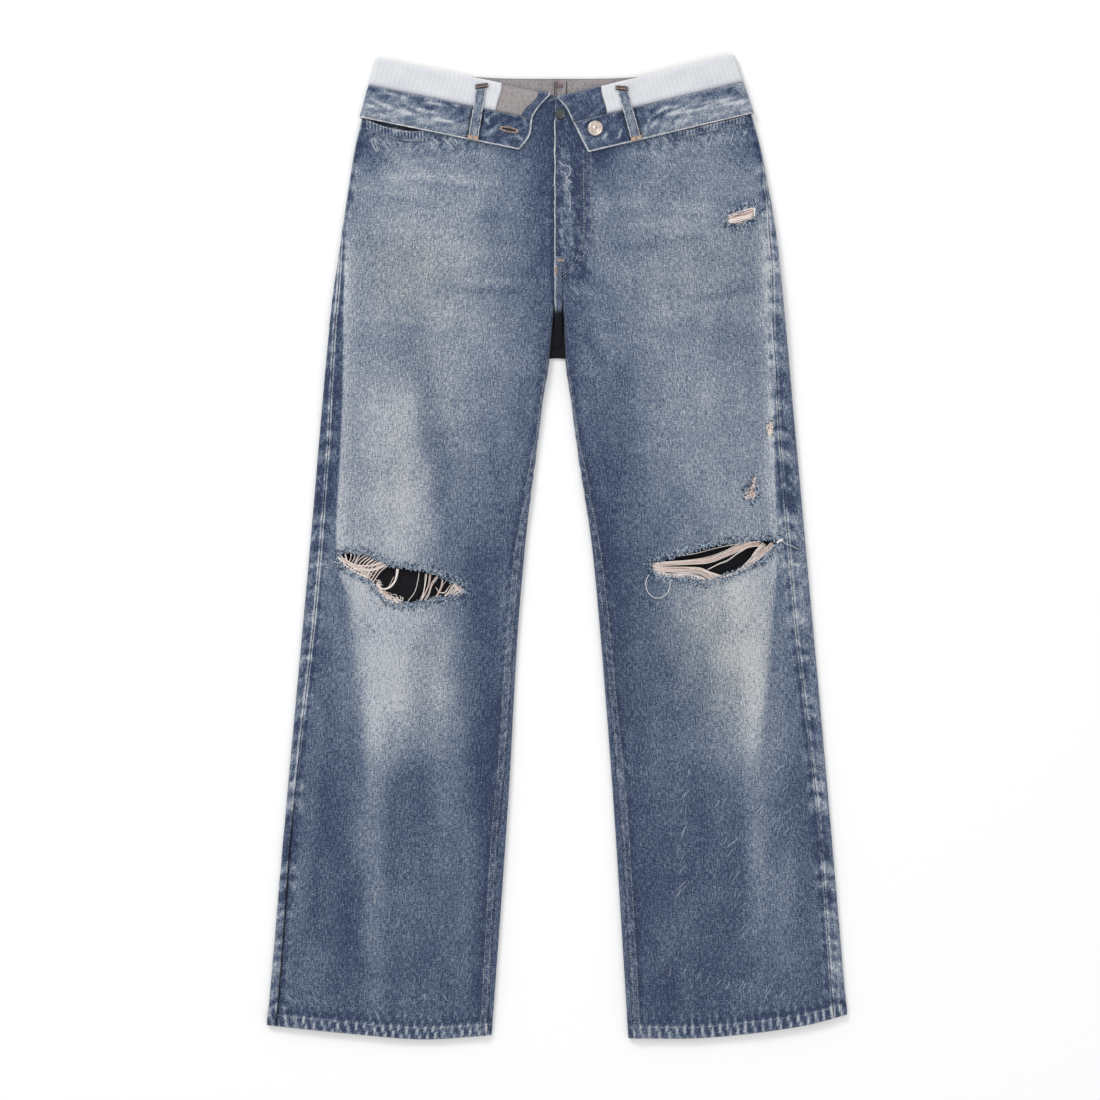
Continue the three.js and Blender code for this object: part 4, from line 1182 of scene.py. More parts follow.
def waistband():
    drops = FLAP + GAP / 2 + (BAND_HEIGHT - GAP / 2) * spacing(BAND_HEIGHT, 0.9, 1.4, 4.5)
    rows_out, rows_in, rows_u = [], [], []
    for drop in drops:
        halves_out, halves_in, halves_u = [], [], []
        for side in SIDES:
            end = flap_c(side, drop)
            edge = float(side.edge(470)) - WAIST_R
            c = np.concatenate([lerp(end, WAIST_Q, np.linspace(0, 1, 130)),
                WAIST_Q * np.linspace(1, -1, 11)[1:-1], -(WAIST_Q + edge * np.linspace(0, 1, 60))])
            edge_here = float(waist_edge(side, drop)) - WAIST_R
            c = np.where(c < -WAIST_Q, -(WAIST_Q + edge_here * (-c - WAIST_Q) / edge), c)
            border = np.minimum(drop - drops[0], drops[-1] - drop)
            front_end = end - c
            puff = 0.35 * (1 - np.exp(-border / 3)) + 0.45 * ripple_along(c + 0.4 * drop, 6.5,
                51) * near_seam(border, 9) * (c > 0)
            puff = puff + 0.8 * (soft_noise(c / 26, drop / 16 + 0 * c, 52) - 0.4) * (c > 0)
            puff = puff - 0.5 * below(front_end, 0, 1.8)
            halves_out.append(waist_point(side, c, drop, FLAP_H + BAND + puff))
            halves_in.append(waist_point(side, c, drop, FLAP_H))
            halves_u.append(np.stack([c, front_end, c * 0 + border], -1))
        join = lambda halves: np.concatenate([halves[0], halves[1][::-1][1:]])
        rows_out.append(join(halves_out))
        rows_in.append(join(halves_in))
        u = join(halves_u)
        rows_u.append(u)
    outer, inner, u = np.array(rows_out), np.array(rows_in), np.array(rows_u)
    x, v = outer[..., 0], drops[:, None] + 0 * u[..., 0]
    lower = smooth(v, FLAP + 15, FLAP + 25)
    rim = np.maximum((0.45 + 0.5 * lower) * below(u[..., 2], 0.8, 2.2), below(u[..., 1], 0.8, 2.4))
    across = np.abs(x)
    fade = 0.16 + 0.38 * smooth(across, 84, 116) + 0.08 * lower
    fade = fade + spots(x, outer[..., 1], BAND_PATCHES)
    for line in BAND_CREASES:
        away, held = from_line(x, outer[..., 1], line)
        fade = fade + 0.45 * bell(away / 1.6) * held - 0.14 * bell((away - 5) / 3) * held
    shade = 0 * fade
    for side in SIDES:
        beside = np.abs(np.abs(side.sign * x - lerp(*side.loop, np.clip((v - 5) / 61, 0, 1))) - LOOP_WIDTH
            / 2 - 1)
        shade = np.maximum(shade, 0.6 * near_seam(beside, 2.6))
    fade = fade - 0.1 * near_seam(np.abs(u[..., 2] - 4.2), 2.6)
    fade = lerp(fade, 0.95, rim)
    wash = washes(fade, 0, 0.9 * (1 - rim), shade * (1 - rim))
    run = np.cumsum(np.linalg.norm(np.diff(outer[8], axis=0, prepend=outer[8][:1]), axis=1))
    uv = np.stack(np.broadcast_arrays(run[None, :], -v), -1)
    piece = sheet_piece("waistband", outer, inner, uv, wash, wash, TRIM)
    return piece


def loop_drop(along):
    """How far down the flap a belt loop is, from its top at 0 to its foot at 1."""
    return lerp(5.0, FLAP + BAND_HEIGHT - 1, along)


def loop_strip(name, side, on_back, top, bottom):
    """A belt loop from the lining down to the waistband's lower edge."""
    along = np.linspace(0, 1, 34)[:, None]
    wide = np.linspace(-0.5, 0.5, 17)[None, :]
    middle = lerp(top, bottom, along)
    drop = loop_drop(along) + 0 * wide
    across = middle + wide * LOOP_WIDTH + 0.25 * np.sin(along * 40) * (np.abs(wide) > 0.4)
    c = waist_c(side, across, drop)
    bow = 0.0 if on_back else 1.0
    puff = bow * (1.2 * np.sin(np.pi * along) + 0.5 * (1 - (2 * wide) ** 2) + 0.3
        * ripple_along(along * 60, 6, 61) - 0.7 * below(np.minimum(along, 1 - along), 0, 0.06))
    c = -c if on_back else c
    outer = waist_point(side, c, drop, LOOP_H + LOOP_THICK + puff)
    inner = waist_point(side, c, drop, LOOP_H + puff * 0.9)
    rim = below(0.5 - np.abs(wide), 0.05, 0.15)
    ridge = bell((np.abs(wide) - 0.3) / 0.07)
    worn = 0.4 * (soft_noise(along * 14 + 0 * wide, wide * 5 + 9 + 0 * along, 62 + side.sign) - 0.5)
    fade = 0.52 + 0.45 * rim - 0.34 * ridge + worn
    wash = washes(fade + 0 * along, 0, 0.5, 0)
    uv = np.stack(np.broadcast_arrays(wide * LOOP_WIDTH, -along * 62), -1)
    piece = sheet_piece(name, outer, inner, uv, wash, wash, TRIM)
    return piece


def pocket_top(side, across, share):
    """Height of a front pocket's edge, which sags by the pocket's gape."""
    return band_foot(side, across) - 2 * GAP - side.pocket[2] * 4 * share * (1 - share)


def pocket_facing(side):
    """The folded, double-stitched edge of the front pocket."""
    start, end, _, depth = side.pocket
    share = np.linspace(0, 1, 150)[None, :]
    down = np.linspace(0, 1, 9)[:, None]
    across = lerp(start, end, share) + 0 * down
    y = pocket_top(side, across, share) - down * depth
    c = across_to_c(side, across, y)
    lift = front_lift(side, c, y, side.sign * across)
    puff = 0.4 * np.sin(np.pi * down) + 0.4 * ripple_along(across, 4.5, 71)
    outer = leg_point(side, c, y, lift + GAP + LINING + puff)
    inner = leg_point(side, c, y, lift + GAP)
    rim = np.maximum(below(down, 0, 0.22), below(1 - down, 0, 0.15))
    ticks = np.cos(2 * np.pi * (across + 1.2 * soft_noise(across / 7, 4 * down, 73)) / 3.6)
    fade = 0.3 + 0.4 * rim + 0.3 * ticks * below(down, 0.6, 0.8) + 0.3 * (soft_noise(across / 6, down * 3,
        72) - 0.5)
    wash = washes(fade, 0, 0.9, 0)
    piece = sheet_piece(f"pocket_facing_{side.name}", outer, inner, np.stack([across, y], -1),
        wash, wash, TRIM)
    return piece


def rise_seam():
    """The felled seam of the front rise, going down between the thighs."""
    low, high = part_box("rise_seam")
    (x0, y0, _), (x1, y1, _) = np.array(low) / MM, np.array(high) / MM
    y = np.linspace(y1, y0, 44)[:, None]
    wide = np.linspace(0, 1, 7)[None, :]
    over = 1.2
    dip = eased((y0, float(back_level(y0)) + DENIM + GAP), (290, float(front_level(290)) + over))
    base = np.where(y > 290, front_level(y) + over, dip(y)) + 0 * wide
    x = lerp(x0, x1, wide) + 0.3 * ripple_along(y, 6, 81)
    crown = 0.5 * (1 - (2 * wide - 1) ** 2) + 0.3 * ripple_along(y, 7, 82)
    inner = place(x, y + 0 * wide, base, smooth(y, 262, 300) + 0 * wide)
    outer = inner + np.stack([0 * x, 0 * x, DENIM + crown], -1)
    rim = below(0.5 - np.abs(wide - 0.5), 0, 0.15)
    fade = 0.3 + 0.2 * rim + 0.6 * below(wide, 0.05, 0.25) + 0 * y
    # Below about 260 the seam is coloured near black: painted deep shade where it goes down between the
    # thighs.
    wash = washes(fade, 0, 0.5, PAINTED_DEEP_SHADE * below(y, 255, 264) + 0 * wide)
    piece = sheet_piece("rise_seam", outer, inner, np.stack(np.broadcast_arrays(x, y), -1),
        wash, wash, TRIM)
    return piece


BACK_POCKET = (138, 128, 22, 400, 92)  # width, height, tip, top edge, middle across


def back_pocket(side):
    """A plain patch pocket, square at the top and pointed at the bottom."""
    width, height, tip, top, middle = BACK_POCKET
    down, share = np.linspace(0, 1, 40)[:, None], np.linspace(-0.5, 0.5, 40)[None, :]
    y = top - down * height - (1 - 2 * np.abs(share)) * tip * down
    across = middle + share * width * (1 - 0.1 * down)
    outer, inner = at_back(side, across, y, GAP + DENIM), at_back(side, across, y, GAP)
    border = np.minimum(np.minimum(down * height, (1 - down) * height), (0.5 - np.abs(share)) * width)
    fade = 0.4 + 0.25 * below(border, 0, 3) - 0.1 * near_seam(np.abs(border - 6), 3) + 0 * y
    wash = washes(fade, 0, near_seam(border, 14), 0)
    piece = sheet_piece(f"back_pocket_{side.name}", outer, inner, np.stack([across, y], -1), wash,
        wash, BODY)
    return piece


# ---------------------------------------------------------------- stitches


def build_stitch_rows(tree, given):
    """Rows of plump stitches along the edges of a mesh, each with a random tone."""
    curve = tree.add("GeometryNodeMeshToCurve", {"Mesh": given["Geometry"]}).outputs[0]
    places = tree.add("GeometryNodeCurveToPoints", {"Curve": curve, "Length": given["Spacing"]},
        mode="LENGTH").outputs
    bead = tree.add("GeometryNodeMeshUVSphere", {"Segments": 6, "Rings": 4, "Radius": 1.0}).outputs["Mesh"]
    radius = given["Thread Radius"]
    half = tree.math("MULTIPLY", given["Stitch Length"], 0.5)
    size = tree.add("ShaderNodeCombineXYZ", {"X": radius, "Y": radius, "Z": half}).outputs[0]
    placed = tree.add("GeometryNodeInstanceOnPoints", {"Points": places["Points"], "Instance": bead,
        "Rotation": places["Rotation"], "Scale": size}).outputs[0]
    tone = tree.add("FunctionNodeRandomValue", {"Seed": 7}, data_type="FLOAT").outputs[1]
    toned = tree.add("GeometryNodeStoreNamedAttribute", {"Geometry": placed, "Name": "tone", "Value": tone},
        data_type="FLOAT", domain="INSTANCE").outputs[0]
    real = tree.add("GeometryNodeRealizeInstances", {"Geometry": toned}).outputs[0]
    rounded = tree.add("GeometryNodeSetShadeSmooth", {"Geometry": real}).outputs[0]
    made = tree.add("GeometryNodeSetMaterial", {"Geometry": rounded,
        "Material": given["Material"]}).outputs[0]
    return {"Geometry": made}


STITCH_ROWS = node_group("Stitch rows", "GeometryNodeTree", [("Geometry", "NodeSocketGeometry", None),
    ("Stitch Length", FLOAT, 2.3 * MM), ("Spacing", FLOAT, 3 * MM), ("Thread Radius", FLOAT, 0.35 * MM),
    ("Material", "NodeSocketMaterial", None)], [("Geometry", "NodeSocketGeometry")], build_stitch_rows)


def stitch(name, paths, material, length=2.4, spacing=3.1, radius=0.36):
    """Stitches along each path of points in millimetres."""
    points, edges = [], []
    for path in paths:
        edges += [(len(points) + k, len(points) + k + 1) for k in range(len(path) - 1)]
        points += (np.asarray(path) * MM).tolist()
    mesh = bpy.data.meshes.new(name)
    mesh.from_pydata(points, edges, [])
    piece = add_object(name, mesh)
    modifier = piece.modifiers.new("Stitch rows", "NODES")
    modifier.node_group = STITCH_ROWS
    given = {"Stitch Length": length * MM, "Spacing": spacing * MM, "Thread Radius": radius * MM,
        "Material": material}
    for socket in STITCH_ROWS.interface.items_tree:
        if socket.name in given:
            modifier[socket.identifier] = given[socket.name]
    bpy.context.view_layer.update()
    shown = piece.evaluated_get(bpy.context.evaluated_depsgraph_get())
    piece.data = bpy.data.meshes.new_from_object(shown)
    piece.modifiers.clear()
    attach(piece, "root")
    return piece


def on_leg(side, x, y, over=0.0):
    """Points that rest on a front, given across and up."""
    x, y = np.broadcast_arrays(np.asarray(x, float), np.asarray(y, float))
    c = across_to_c(side, side.sign * x, y)
    return leg_point(side, c, y, front_lift(side, c, y, x) + over)


def beside_inseam(side, inset, y, over=0.15):
    """A line down a leg, a distance in from its inseam."""
    c = front_ends(side, y)[1] - inset
    x = leg_point(side, c, y, 0)[..., 0]
    return leg_point(side, c, y, front_lift(side, c, y, x) + over)


def leg_stitches(side):
    """The double row beside the inseam and the row round the hem."""
    low, high = (-534 if side is LEFT else -532), 204
    down = np.linspace(low, high, int((high - low) / 3))
    rows = [beside_inseam(side, inset, down) for inset in (2.4, 7.6)]
    across = lerp(side.inner(FOOT) + 2, side.edge(-520) - 2, np.linspace(0, 1, 90))
    y = side.hem(across) + HEM_STITCH
    rows.append(on_leg(side, side.sign * across, y, 0.15))
    stitch(f"leg_stitches_{side.name}", rows, STITCH)
    under = at_back(side, across, y, 0.1)
    under[:, 2] = np.maximum(under[:, 2], 0.3)
    stitch(f"hem_stitches_{side.name}", [under], STITCH)


def fly_stitches():
    """The double row that runs down beside the fly and turns in to its foot, and the row at its edge."""
    rows = []
    for x in (29.4, 37.2):
        foot = (5, 297 - (x - 29.4) * 0.5)
        line = drawn([(x, 434), (x, 400), (x, 341), (x - 3.2, 327), (x * 0.56, 307), foot], 8)
        rows.append(on_leg(LEFT, line[:, 0], line[:, 1], 0.15))
    y = np.linspace(300, 488, 60)
    stitch("fly_stitches", rows, STITCH, 2.2, 2.9, 0.42)
    edge = on_leg(LEFT, -0.9 + 0 * y, np.minimum(y, 468), 0.6)[y < 468]
    stitch("fly_edge_stitches", [edge], SHADED_STITCH, 1.3, 2.6, 0.5)
    y = np.linspace(268, 306, 16)
    rise = [np.stack([x + 0 * y, y, front_level(y) + 3.3 + 0 * y], -1) for x in (1.6, 5.2)]
    stitch("rise_stitches", rise, SHADED_STITCH, 1.4, 2.7, 0.45)


def band_line(side, drop, over, first=1.5, last=None, steps=130):
    """A line along the waistband from its front end round to the middle of the back."""
    end = flap_c(side, drop)
    edge = float(waist_edge(side, drop)) - WAIST_R
    last = -(WAIST_Q + edge) if last is None else last
    c = np.linspace(end - first, last, steps)
    return waist_point(side, c, drop, FLAP_H + BAND + over)


def waist_stitches():
    top, foot = FLAP + 1.4, FLAP + BAND_HEIGHT - 1.9
    rows = []
    for side in SIDES:
        rows += [band_line(side, top, 0.35), band_line(side, foot, 0.35)]
        drop = np.linspace(top, foot, 12)
        end = flap_c(side, drop) - 2.2
        rows.append(waist_point(side, end, drop, FLAP_H + BAND + 0.35))
        edge = np.linspace(1, FLAP - 1, 14)
        near_end = flap_c(side, edge) - 2.0
        rows.append(waist_point(side, near_end, edge, LINING_H + LINING + 0.15))
    stitch("waist_stitches", rows, SHADED_STITCH, 1.4, 2.6, 0.56)
    pale = []
    for side in SIDES:
        across = np.linspace(2, 120 if side is RIGHT else 100, 40)
        for down in (5.0, 9.5):
            y = back_waist(across) - FOLD_REACH - down
            pale.append(at_back(side, across, y, -DENIM - 0.1))
    stitch("back_waist_stitches", pale, STITCH, 2.2, 2.9, 0.32)


def worn_line(rng, line, over=0.0, radius=(0.65, 1.0)):
    """A pale worn edge, as overlapping short rolls of uneven thickness along a line of points."""
    made, k = [], 0
    while k < len(line) - 2:
        span = int(rng.integers(3, 7))
        part = line[k:k + span + 1] + (0, 0, over)
        made.append((part + rng.normal(0, 0.18, part.shape), rng.uniform(*radius), rng.uniform(0.45, 1.0)))
        k += span - 1
    return made


def worn_edges():
    """Pale rolls on the edges of the fly, the rise seam and the turned-down waistband."""
    rng = np.random.default_rng(501)
    made = []
    y = np.linspace(286, 486, 130)
    made += worn_line(rng, on_leg(LEFT, -2.3 + 0.25 * np.sin(y / 5), np.minimum(y, 470), 0.1)[y < 470])
    y = np.linspace(264, 312, 32)
    made += worn_line(rng, np.stack([-2.2 + 0 * y, y, front_level(y) + 2.7 + 0 * y], -1), 0.0, (0.4, 0.6))
    for side in SIDES:
        across = float(side.edge(430)) - 6
        last = waist_c(side, across, FLAP + BAND_HEIGHT)
        made += worn_line(rng, band_line(side, FLAP + BAND_HEIGHT - 0.7, 0.0, 0.4, last, 190))
        drop = np.linspace(FLAP + 0.4, FLAP + BAND_HEIGHT - 0.4, 30)
        end = flap_c(side, drop)
        made += worn_line(rng, waist_point(side, end - 0.5, drop, FLAP_H + BAND), -0.2)
        drop = np.linspace(1, FLAP - 1, 24)
        end = flap_c(side, drop)
        made += worn_line(rng, waist_point(side, end - 0.5, drop, LINING_H + LINING), -0.1, (0.45, 0.7))
    strands("worn_edges", made, RUBBED)


def pocket_stitches(side):
    start, end, _, depth = side.pocket
    rows = []
    for inset in (1.2, depth - 1.6):
        across = np.linspace(start + 1, end - 1, 40)
        share = (across - start) / (end - start)
        y = pocket_top(side, across, share) - inset
        rows.append(on_leg(side, side.sign * across, y, GAP + LINING + 0.35))
    stitch(f"pocket_stitches_{side.name}", rows, STITCH, 1.6, 2.2, 0.34)
    width, height, tip, top, middle = BACK_POCKET
    share = np.concatenate([np.full(24, -0.5), np.linspace(-0.5, 0.5, 50), np.full(24, 0.5)])
    down = np.concatenate([np.linspace(0, 1, 24), np.ones(50), np.linspace(1, 0, 24)])
    rows = []
    for inset in (3, 9):
        s, d = share * (1 - 2 * inset / width), down * (1 - inset / height)
        y = top - d * height - (1 - 2 * np.abs(s)) * tip * d
        rows.append(at_back(side, middle + s * width * (1 - 0.1 * d), y, GAP + DENIM + 0.1))
    y = np.full(40, top - 12.0)
    rows.append(at_back(side, middle + np.linspace(-0.47, 0.47, 40) * width, y, GAP + DENIM + 0.1))
    across = np.linspace(3, float(side.edge(440)) - 6, 70)
    for down in (3, 8):
        y = yoke_seam(across) - down
        rows.append(at_back(side, across, y, 0.1))
    stitch(f"back_stitches_{side.name}", rows, STITCH)


def loop_stitches(side, on_back, top, bottom):
    along = np.linspace(0.06, 0.95, 26)
    rows = []
    for wide in (-0.28, 0.28):
        drop = loop_drop(along)
        c = waist_c(side, lerp(top, bottom, along) + wide * LOOP_WIDTH, drop)
        bow = 0.0 if on_back else 1.0
        puff = bow * (1.2 * np.sin(np.pi * along) + 0.35)
        rows.append(waist_point(side, -c if on_back else c, drop, LOOP_H + LOOP_THICK + puff + 0.15))
    return rows


# ---------------------------------------------------------------- loose yarn


def drawn(points, steps=5):
    """A smooth open line through the points."""
    p = np.array(points, float)
    p = np.vstack([2 * p[0] - p[1], p, 2 * p[-1] - p[-2]])
    a, b, c, d = p[:-3], p[1:-2], p[2:-1], p[3:]
    t = np.arange(steps)[:, None, None] / steps
    curve = 0.5 * (2 * b + (c - a) * t + (2 * a - 5 * b + 4 * c - d) * t**2 + (3 * b - a - 3 * c + d) * t**3)
    return np.vstack([curve.transpose(1, 0, 2).reshape(-1, p.shape[1]), p[-2]])


def strands(name, lines, material, sides=5):
    """One mesh of closed round strands. Each line is (points, radius, tone)."""
    points, faces, tones, count = [], [], [], 0
    angle = np.linspace(0, 2 * np.pi, sides, endpoint=False)
    for line, radius, tone in lines:
        n = len(line)
        along = np.gradient(line, axis=0)
        along /= np.linalg.norm(along, axis=1, keepdims=True) + 1e-9
        aside = np.cross(along, (0.0, 0.05, 1.0))
        aside /= np.linalg.norm(aside, axis=1, keepdims=True) + 1e-9
        up = np.cross(aside, along)
        taper = radius * np.clip(np.minimum(np.arange(n), np.arange(n)[::-1]) * 0.9 + 0.45, 0, 1)[:, None,
            None]
        ring = line[:, None] + taper * (np.cos(angle)[None, :, None] * aside[:, None]
            + np.sin(angle)[None, :, None] * up[:, None])
        points.append(np.vstack([ring.reshape(-1, 3), line[:1] - along[:1] * radius * 0.5,
            line[-1:] + along[-1:] * radius * 0.5]))
        k, j = np.meshgrid(np.arange(n - 1), np.arange(sides), indexing="ij")
        a, b = count + k * sides + j, count + k * sides + (j + 1) % sides
        faces += np.stack([a, a + sides, b + sides, b], -1).reshape(-1, 4).tolist()
        start, end = count + n * sides, count + n * sides + 1
        faces += [(count + m, count + (m + 1) % sides, start) for m in range(sides)]
        last = count + (n - 1) * sides
        faces += [(last + (m + 1) % sides, last + m, end) for m in range(sides)]
        tones += [tone] * (n * sides + 2)
        count += n * sides + 2
    piece = put(name, np.vstack(points), faces, [material])
    layer = piece.data.attributes.new("tone", "FLOAT", "POINT")
    layer.data.foreach_set("value", np.array(tones, np.float32))
    return piece


def lie(side, line, over):
    """A line of (x, y) laid on a front at a height over its outer face."""
    line = np.asarray(line, float)
    base = leg_point(side, across_to_c(side, side.sign * line[:, 0], line[:, 1]), line[:, 1], 0.0)
    return np.column_stack([line, base[:, 2] + over])


def bundle(side, rng, line, count, open_from, open_to, radius=0.3, height=(-0.7, 0.3), tone=(0.1, 1.0)):
    """Strands that run together along a line, spread from one width to another."""
    middle = drawn(line, 5)
    way = np.gradient(middle, axis=0)
    way /= np.linalg.norm(way, axis=1, keepdims=True)
    normal = np.column_stack([-way[:, 1], way[:, 0]])
    t = np.linspace(0, 1, len(middle))
    made = []
    for k in range(count):
        share = (k + 0.5) / count - 0.5 if count > 1 else 0.0
        share += rng.uniform(-0.3, 0.3) / count
        wave = rng.uniform(0.0, 0.35) * np.sin(t * rng.uniform(4, 11) + rng.uniform(0, 6.3))
        offset = (share * lerp(open_from, open_to, t) + wave)[:, None]
        over = lerp(*height, rng.random()) + 0.5 * np.sin(np.pi * t) * rng.random()
        made.append((lie(side, middle + normal * offset, over), radius * rng.uniform(0.75, 1.2),
            rng.uniform(*tone)))
    return made


def fray(side, outline, count, seed, reach=5.0, long=(1.6, 4.2)):
    """Short frayed ends round a rip, some over the cloth and some over the hole."""
    rng = np.random.default_rng(seed)
    run = np.roll(outline, -1, 0) - outline
    length = np.linalg.norm(run, axis=1)
    area = (outline[:, 0] * np.roll(outline[:, 1], -1) - outline[:, 1] * np.roll(outline[:, 0], -1)).sum()
    made = []
    for k in rng.choice(len(outline), count, p=length / length.sum()):
        way = run[k] / length[k]
        out = np.array([way[1], -way[0]]) * np.sign(area)
        over_hole = rng.random() < 0.3
        start = outline[k] + run[k] * rng.random() + out * (rng.uniform(-0.6, 0.6) if over_hole else reach
            * rng.random() ** 0.8)
        lean = rng.normal(0, 0.75)
        heading = np.array([out[0] * 0.35, out[1]]) * (-1 if over_hole or rng.random() < 0.5 else 1)
        turn = np.arctan2(heading[1], heading[0]) + lean + np.cumsum(rng.normal(0, 0.42, 5))
        step = rng.uniform(*long) / 5 * (0.7 if over_hole else 1)
        line = np.vstack([start, start + np.cumsum(np.column_stack([np.cos(turn), np.sin(turn)]), 0) * step])
        rise = rng.uniform(0.15, 0.7) + np.linspace(0, rng.uniform(0.0, 0.9), 6)
        tone = 0.78 * rng.integers(0, 2) + 0.22 * rng.random()
        made.append((lie(side, line, rise - 0.5 * over_hole), rng.uniform(0.26, 0.46), tone))
    return made


def tangle(side, rng, outline, count, angle, long, height, tone):
    """Short strands crossing inside an outline, mostly along one angle."""
    made = []
    while len(made) < count:
        at = rng.uniform(outline.min(0), outline.max(0))
        if outline_distance(at[:1], at[1:], outline)[0][0] > 0.3:
            continue
        way = angle + rng.normal(0, 0.35)
        span = rng.uniform(*long) / 2 * np.array([np.cos(way), np.sin(way)])
        line = drawn([at - span, at + rng.normal(0, 0.5, 2), at + span], 3)
        made.append((lie(side, line, rng.uniform(*height)), rng.uniform(0.28, 0.46), rng.uniform(*tone)))
    return made


def lift_under(side, line):
    """How far a front stands off its plain form under a line of (x, y)."""
    x, y = line[:, 0], line[:, 1]
    return front_lift(side, across_to_c(side, side.sign * x, y), y, x)


def scratches():
    """Fine pale lines rubbed into the cloth: drag lines below the pockets and slanting ones on the legs."""
    rng = np.random.default_rng(401)
    made = []
    groups = ((RIGHT, (-206, 445), (-176, 448), 9, -0.98, (8, 16)),
        (RIGHT, (-162, 452), (-108, 446), 14, -0.95, (6, 12)), (LEFT, (150, 446), (206, 456), 9, -1.9,
        (6, 12)), (LEFT, (214, -292), (240, -316), 12, 0.95, (10, 22)),
        (LEFT, (176, -280), (200, -440), 20, 1.0, (8, 18)), (LEFT, (120, -470), (250, -500), 16, 1.1,
        (8, 16)), (LEFT, (140, -250), (130, -400), 14, 1.1, (8, 18)),
        (LEFT, (236, -200), (262, -420), 16, 1.0, (8, 18)), (RIGHT, (-250, -500), (-296, -506), 9, 2.3,
        (7, 15)), (RIGHT, (-170, -505), (-110, -500), 9, 1.9, (6, 12)),
        (RIGHT, (-210, -380), (-150, -440), 10, 1.2, (7, 14)), (LEFT, (8, 280), (26, 292), 4, -0.8, (8, 16)))
    for line in (((2, 423), (7, 418), (13, 416.5), (14.6, 409), (9.6, 403), (12, 398)),
                 ((4, 412), (9, 409), (12, 402), (17, 399)), ((14, 388), (14.6, 378), (14, 366))):
        line = drawn(line, 5)
        made.append((lie(LEFT, line, lift_under(LEFT, line) - 0.05), 0.42, 0.7))
    for side, a, b, count, angle, long in groups:
        for k in range(count):
            start = lerp(np.array(a, float), np.array(b, float), (k + rng.random()) / count) + rng.normal(0,
                2, 2)
            way = angle + rng.normal(0, 0.18)
            span = rng.uniform(*long) * np.array([np.cos(way), np.sin(way)])
            bend = rng.normal(0, 0.06) * np.array([-span[1], span[0]])
            line = drawn([start, start + span * 0.5 + bend, start + span], 6)
            over = lift_under(side, line) + np.linspace(-0.24, -0.1, len(line))
            bold = line[0, 1] > 400
            made.append((lie(side, line, over + 0.1 * bold), rng.uniform(0.24, 0.36) + 0.2 * bold,
                rng.uniform(0.1, 0.6) + 0.1 * bold))
    strands("rubbed_lines", made, RUBBED)


def weft_into(made, side, rng):
    """A short way to add bundles to a list of strands."""

    def weft(line, count=1, open_from=0.3, open_to=0.3, radius=0.3, **more):
        made.extend(bundle(side, rng, line, count, open_from, open_to, radius, **more))

    return weft


